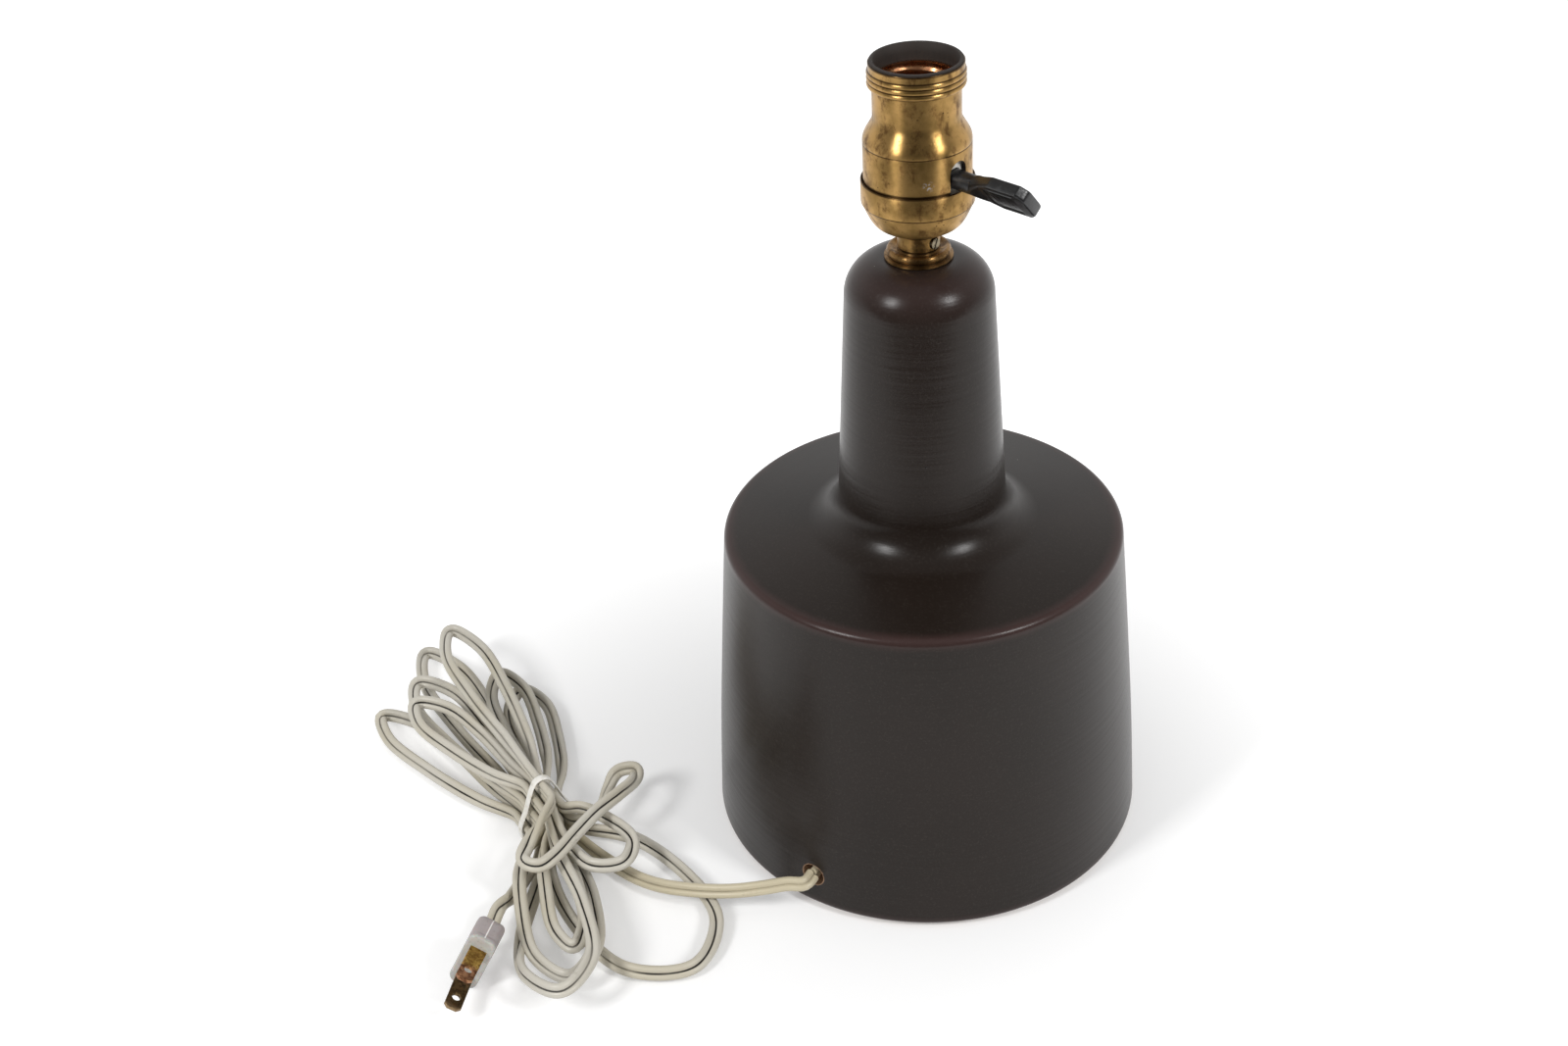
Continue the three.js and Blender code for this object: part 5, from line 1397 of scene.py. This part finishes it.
# %% Key
KEY_ROLL = math.radians(50)
KEY_FRAME = (
    Matrix.Translation((0, 0, KEY_Z * MM))
    @ Matrix.Rotation(KEY_ANGLE, 4, "Z")
    @ Matrix.Rotation(KEY_ROLL, 4, "Y")
)
STEM_START, PADDLE_START, KEY_REACH = 13.4, 24.8, 48.3
STEM_RADIUS, PADDLE_HALF, PADDLE_THICK = 3.3, 7.5, 2.2
FLARE_END = PADDLE_START + (KEY_REACH - PADDLE_START) * 0.42
CORNER_START = KEY_REACH - PADDLE_HALF * 0.35
FLATTENING, SQUARENESS = 5, 5
PADDLE_RISE = math.radians(1)
RIB_PITCH, RIB_DEPTH, RIBS_FROM, RIBS_TO = 1.15, 0.28, 31.5, 44.5
RIB_FADE, RIB_MARGIN, RIB_MARGIN_FADE = 0.8, 1.3, 0.5
END_REACH, END_ROUNDING, END_STEP = 0.5, 0.12, 0.12
KEY_SIDES, KEY_STEPS = 96, 110


def key_half_width(distance):
    if distance < PADDLE_START:
        return STEM_RADIUS
    if distance < FLARE_END:
        share = (distance - PADDLE_START) / (FLARE_END - PADDLE_START)
        return STEM_RADIUS + (PADDLE_HALF - STEM_RADIUS) * share
    return PADDLE_HALF - max(0, distance - CORNER_START)


def key_point(x, z, distance):
    past = max(0, distance - PADDLE_START)
    y = -min(distance, PADDLE_START) - past * math.cos(PADDLE_RISE)
    return (x, y, z + past * math.sin(PADDLE_RISE))


def key_ring(distance):
    half = key_half_width(distance)
    flat = clamped((distance - PADDLE_START) / FLATTENING)
    thick = STEM_RADIUS + (PADDLE_THICK - STEM_RADIUS) * flat
    power = 2 / (2 + SQUARENESS * flat)
    to_end = clamped(min(distance - STEM_START, KEY_REACH - distance) / END_REACH)
    size = 1 - END_ROUNDING * (1 - to_end) ** 2
    ribbed = clamped(min(distance - RIBS_FROM, RIBS_TO - distance) / RIB_FADE)
    ring = []
    for c, s in circle(0, 0, 1, KEY_SIDES):
        x = math.copysign(abs(c) ** power, c) * half * size
        z = math.copysign(abs(s) ** power, s) * thick * size
        inner = clamped((half - RIB_MARGIN - abs(x)) / RIB_MARGIN_FADE)
        rib = RIB_DEPTH * (0.5 - 0.5 * math.cos(2 * math.pi * x / RIB_PITCH))
        ring.append(key_point(x, z - math.copysign(rib * inner * ribbed, s), distance))
    return ring


def key_mesh():
    length = KEY_REACH - STEM_START
    middle = [STEM_START + length * k / KEY_STEPS for k in range(1, KEY_STEPS)]
    ends = [KEY_REACH - END_STEP, KEY_REACH]
    stations = [STEM_START, STEM_START + END_STEP, *middle, *ends]
    return joined_rings([key_ring(distance) for distance in stations])


add_piece(
    "turn_paddle", key_mesh(), dark_plastic, ["switch_key"],
    body="turn_key", place=KEY_FRAME,
)

# %% [markdown]
# ## What keeps the model's own shape
# The pipe, its washers and nut, the felt and the switch parts are already right, and are hidden
# or small. They only get their finishes. The cord inside the foot is seen through the hole and
# from below, so it is swept again like the free cord.

# %% Finishes for the model's own nodes
NODE_FINISHES = {
    "base_felt": pressed_felt, "lamp_pipe": zinc_steel, "base_washer": zinc_steel,
    "lock_washer": zinc_steel, "base_nut": zinc_steel, "pipe_bushing": dark_plastic,
    "cap_liner": pressed_fibre, "switch_block": switch_porcelain,
    "terminal_screw_line": aged_brass, "terminal_screw_neutral": zinc_steel,
    "centre_contact": spring_bronze, "contact_spring": spring_bronze, "key_shaft": zinc_steel,
    "switch_cam": dark_plastic, "wire_line": dark_plastic, "wire_neutral": cord_jacket,
}
for name, finish in NODE_FINISHES.items():
    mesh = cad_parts[name].data
    mesh.materials.clear()
    mesh.materials.append(finish)
print(len(NODE_FINISHES), "nodes finished")

# %% [markdown]
# The cord inside the foot sags into the recess and then climbs the pipe. A direction that suits
# a cord on a table fails where it runs upright, so its wide face looks the same way all along.

# %% Cord inside the foot
PIPE_TAIL, PIPE_END = 21.5, 247.1
INNER_START = HOLE_MOUTH - 0.2
RUN_SHARES, RECESS_SAG = (0.8, 0.5, 0.16, 0.03), 7
INNER_CURVE_STEPS, INNER_STEP = 24, 2


def inner_face(point, ahead):
    return HOLE_DIRECTION.cross(Vector((0, 0, 1)))


runs = [FOOT_RADIUS * share for share in RUN_SHARES]
inner_points = [
    hole_point(INNER_START),
    hole_point(runs[0]),
    hole_point(runs[1], HOLE_Z - RECESS_SAG),
    hole_point(runs[2], HOLE_Z - RECESS_SAG),
    hole_point(runs[3], (HOLE_Z + PIPE_TAIL - RECESS_SAG) / 2),
]
for height in (PIPE_TAIL, PIPE_TAIL + CORD_WIDTH, (PIPE_TAIL + PIPE_END) / 2, PIPE_END):
    inner_points.append(Vector((0, 0, height)))
inner_line = even_line(cord_curve(inner_points, INNER_CURVE_STEPS), INNER_STEP)
inner_mesh = cord_mesh(inner_line, inner_face)

# Without its distances along the cord, all of it is as yellow as the lead
inner_mesh.attributes.remove(inner_mesh.attributes["along"])
add_piece(
    "cord_in_foot", inner_mesh, cord_jacket, ["cord_inside"], corner=CORD_CORNER,
)

# %% [markdown]
# ## Floor and surroundings
# The lamp stands on a white sweep. The floor is a real white surface that takes shadows, with a
# little light of its own for what looks straight at it or mirrors it, so that it reaches white.
# The sheet ends a little way in front of the lamp. The brass mirrors the dim front of the studio
# past that end, and that gives it its dark middle.

# %% Floor
FLOOR_HALF = 6.0
FLOOR_FRONT = 0.38
FLOOR_DROP = 0.0001
FLOOR_COLOR = (0.78, 0.78, 0.78)
FLOOR_MIDDLE = (-0.04, -0.03, 0)
FLOOR_NEAR, FLOOR_FAR = 0.08, 0.32
FLOOR_LIFT = 0.24
FLOOR_WHITE = 0.4


def floor_finish():
    finish = Finish("white_sweep", Roughness=0.6, Specular_IOR_Level=0.2)
    finish.shader.inputs["Base Color"].default_value = (*FLOOR_COLOR, 1)
    path = finish.node("ShaderNodeLightPath", output="Is Camera Ray")
    mirrored = finish.also(path, "Is Glossy Ray") + finish.also(path, "Is Transmission Ray")
    clear = finish.fade(finish.distance_to(FLOOR_MIDDLE), FLOOR_NEAR, FLOOR_FAR)
    strength = (mirrored + path) * (FLOOR_LIFT + clear * FLOOR_WHITE)
    lift = finish.node("ShaderNodeEmission", {}, {"Strength": strength})
    paper = Wire(finish, finish.shader.outputs["BSDF"])
    both = finish.node("ShaderNodeAddShader", {}, {0: paper, 1: lift})
    surface = next(n for n in finish.tree.nodes if n.type == "OUTPUT_MATERIAL").inputs["Surface"]
    finish.tree.links.new(both.socket, surface)
    return finish.material


floor_mesh = bpy.data.meshes.new("floor")
corners = [(x, y) for x in (-FLOOR_HALF, FLOOR_HALF) for y in (-FLOOR_FRONT, FLOOR_HALF)]
floor_mesh.from_pydata([(x, y, -FLOOR_DROP) for x, y in corners], [], [(0, 2, 3, 1)])
floor_mesh.materials.append(floor_finish())
floor = in_scene("floor", floor_mesh)
print("floor", 2 * FLOOR_HALF, "m across")

# %% [markdown]
# The surroundings are one gradient of brightness over direction: dim in front, where the
# photographer stands, white behind, and dim again overhead. Only mirrors see that gradient. The
# camera sees plain white, and matt surfaces get an even fill, so the studio can be tuned for the
# brass without changing the rest.

# %% World
WORLD_FRONT, WORLD_BACK, WORLD_TOP, WORLD_FILL = 0.12, 1.0, 0.3, 0.52
FRONT_UNTIL, BACK_FROM = -0.55, 0.5
TOP_FROM, TOP_FULL = 0.45, 0.95


def make_world():
    world = bpy.data.worlds.new("studio")
    world.use_nodes = True
    bpy.context.scene.world = world
    nodes = Nodes(world.node_tree, "Generated")
    y, z = map(nodes.axis, "YZ")
    behind = nodes.fade(y, FRONT_UNTIL, BACK_FROM) * (WORLD_BACK - WORLD_FRONT) + WORLD_FRONT
    above = nodes.fade(z, TOP_FROM, TOP_FULL)
    studio = behind * (1 - above) + above * WORLD_TOP
    camera_ray = nodes.node("ShaderNodeLightPath", output="Is Camera Ray")
    diffuse_ray = nodes.also(camera_ray, "Is Diffuse Ray")
    mirrored = studio * (1 - camera_ray - diffuse_ray)
    strength = mirrored + camera_ray + diffuse_ray * WORLD_FILL
    background = next(n for n in world.node_tree.nodes if n.type == "BACKGROUND")
    background.inputs["Color"].default_value = (1, 1, 1, 1)
    nodes.tree.links.new(strength.socket, background.inputs["Strength"])


make_world()
print("world dim in front, white behind")

# %% [markdown]
# ## Lamps
# Two soft boxes stand in front, one to each side, about 35 degrees above the lamp. Their places
# were found from the highlights: on the neck's round top, each highlight lies where the surface
# faces halfway between the camera and a soft box. Their power brings white paper out white.

# %% Two soft boxes
SOFT_BOXES = (("left_box", -48, 35, 7.4), ("right_box", 52, 36, 7.4))
BOX_DISTANCE = 1.3
BOX_WIDTH, BOX_TALL = 0.24, 0.34
LAMP_MIDDLE = Vector((0, 0, 0.15))

for name, azimuth, elevation, power in SOFT_BOXES:
    light = bpy.data.lights.new(name, "AREA")
    light.shape = "RECTANGLE"
    light.size, light.size_y = BOX_WIDTH, BOX_TALL
    light.energy = power
    a, e = math.radians(azimuth), math.radians(elevation)
    away = Vector((math.sin(a) * math.cos(e), -math.cos(a) * math.cos(e), math.sin(e)))
    box = in_scene(name, light)
    box.location = LAMP_MIDDLE + away * BOX_DISTANCE
    box.rotation_euler = (-away).to_track_quat("-Z", "Y").to_euler()
    print(name, "at", [round(value, 2) for value in box.location])

bpy.context.scene.view_settings.view_transform = "Standard"
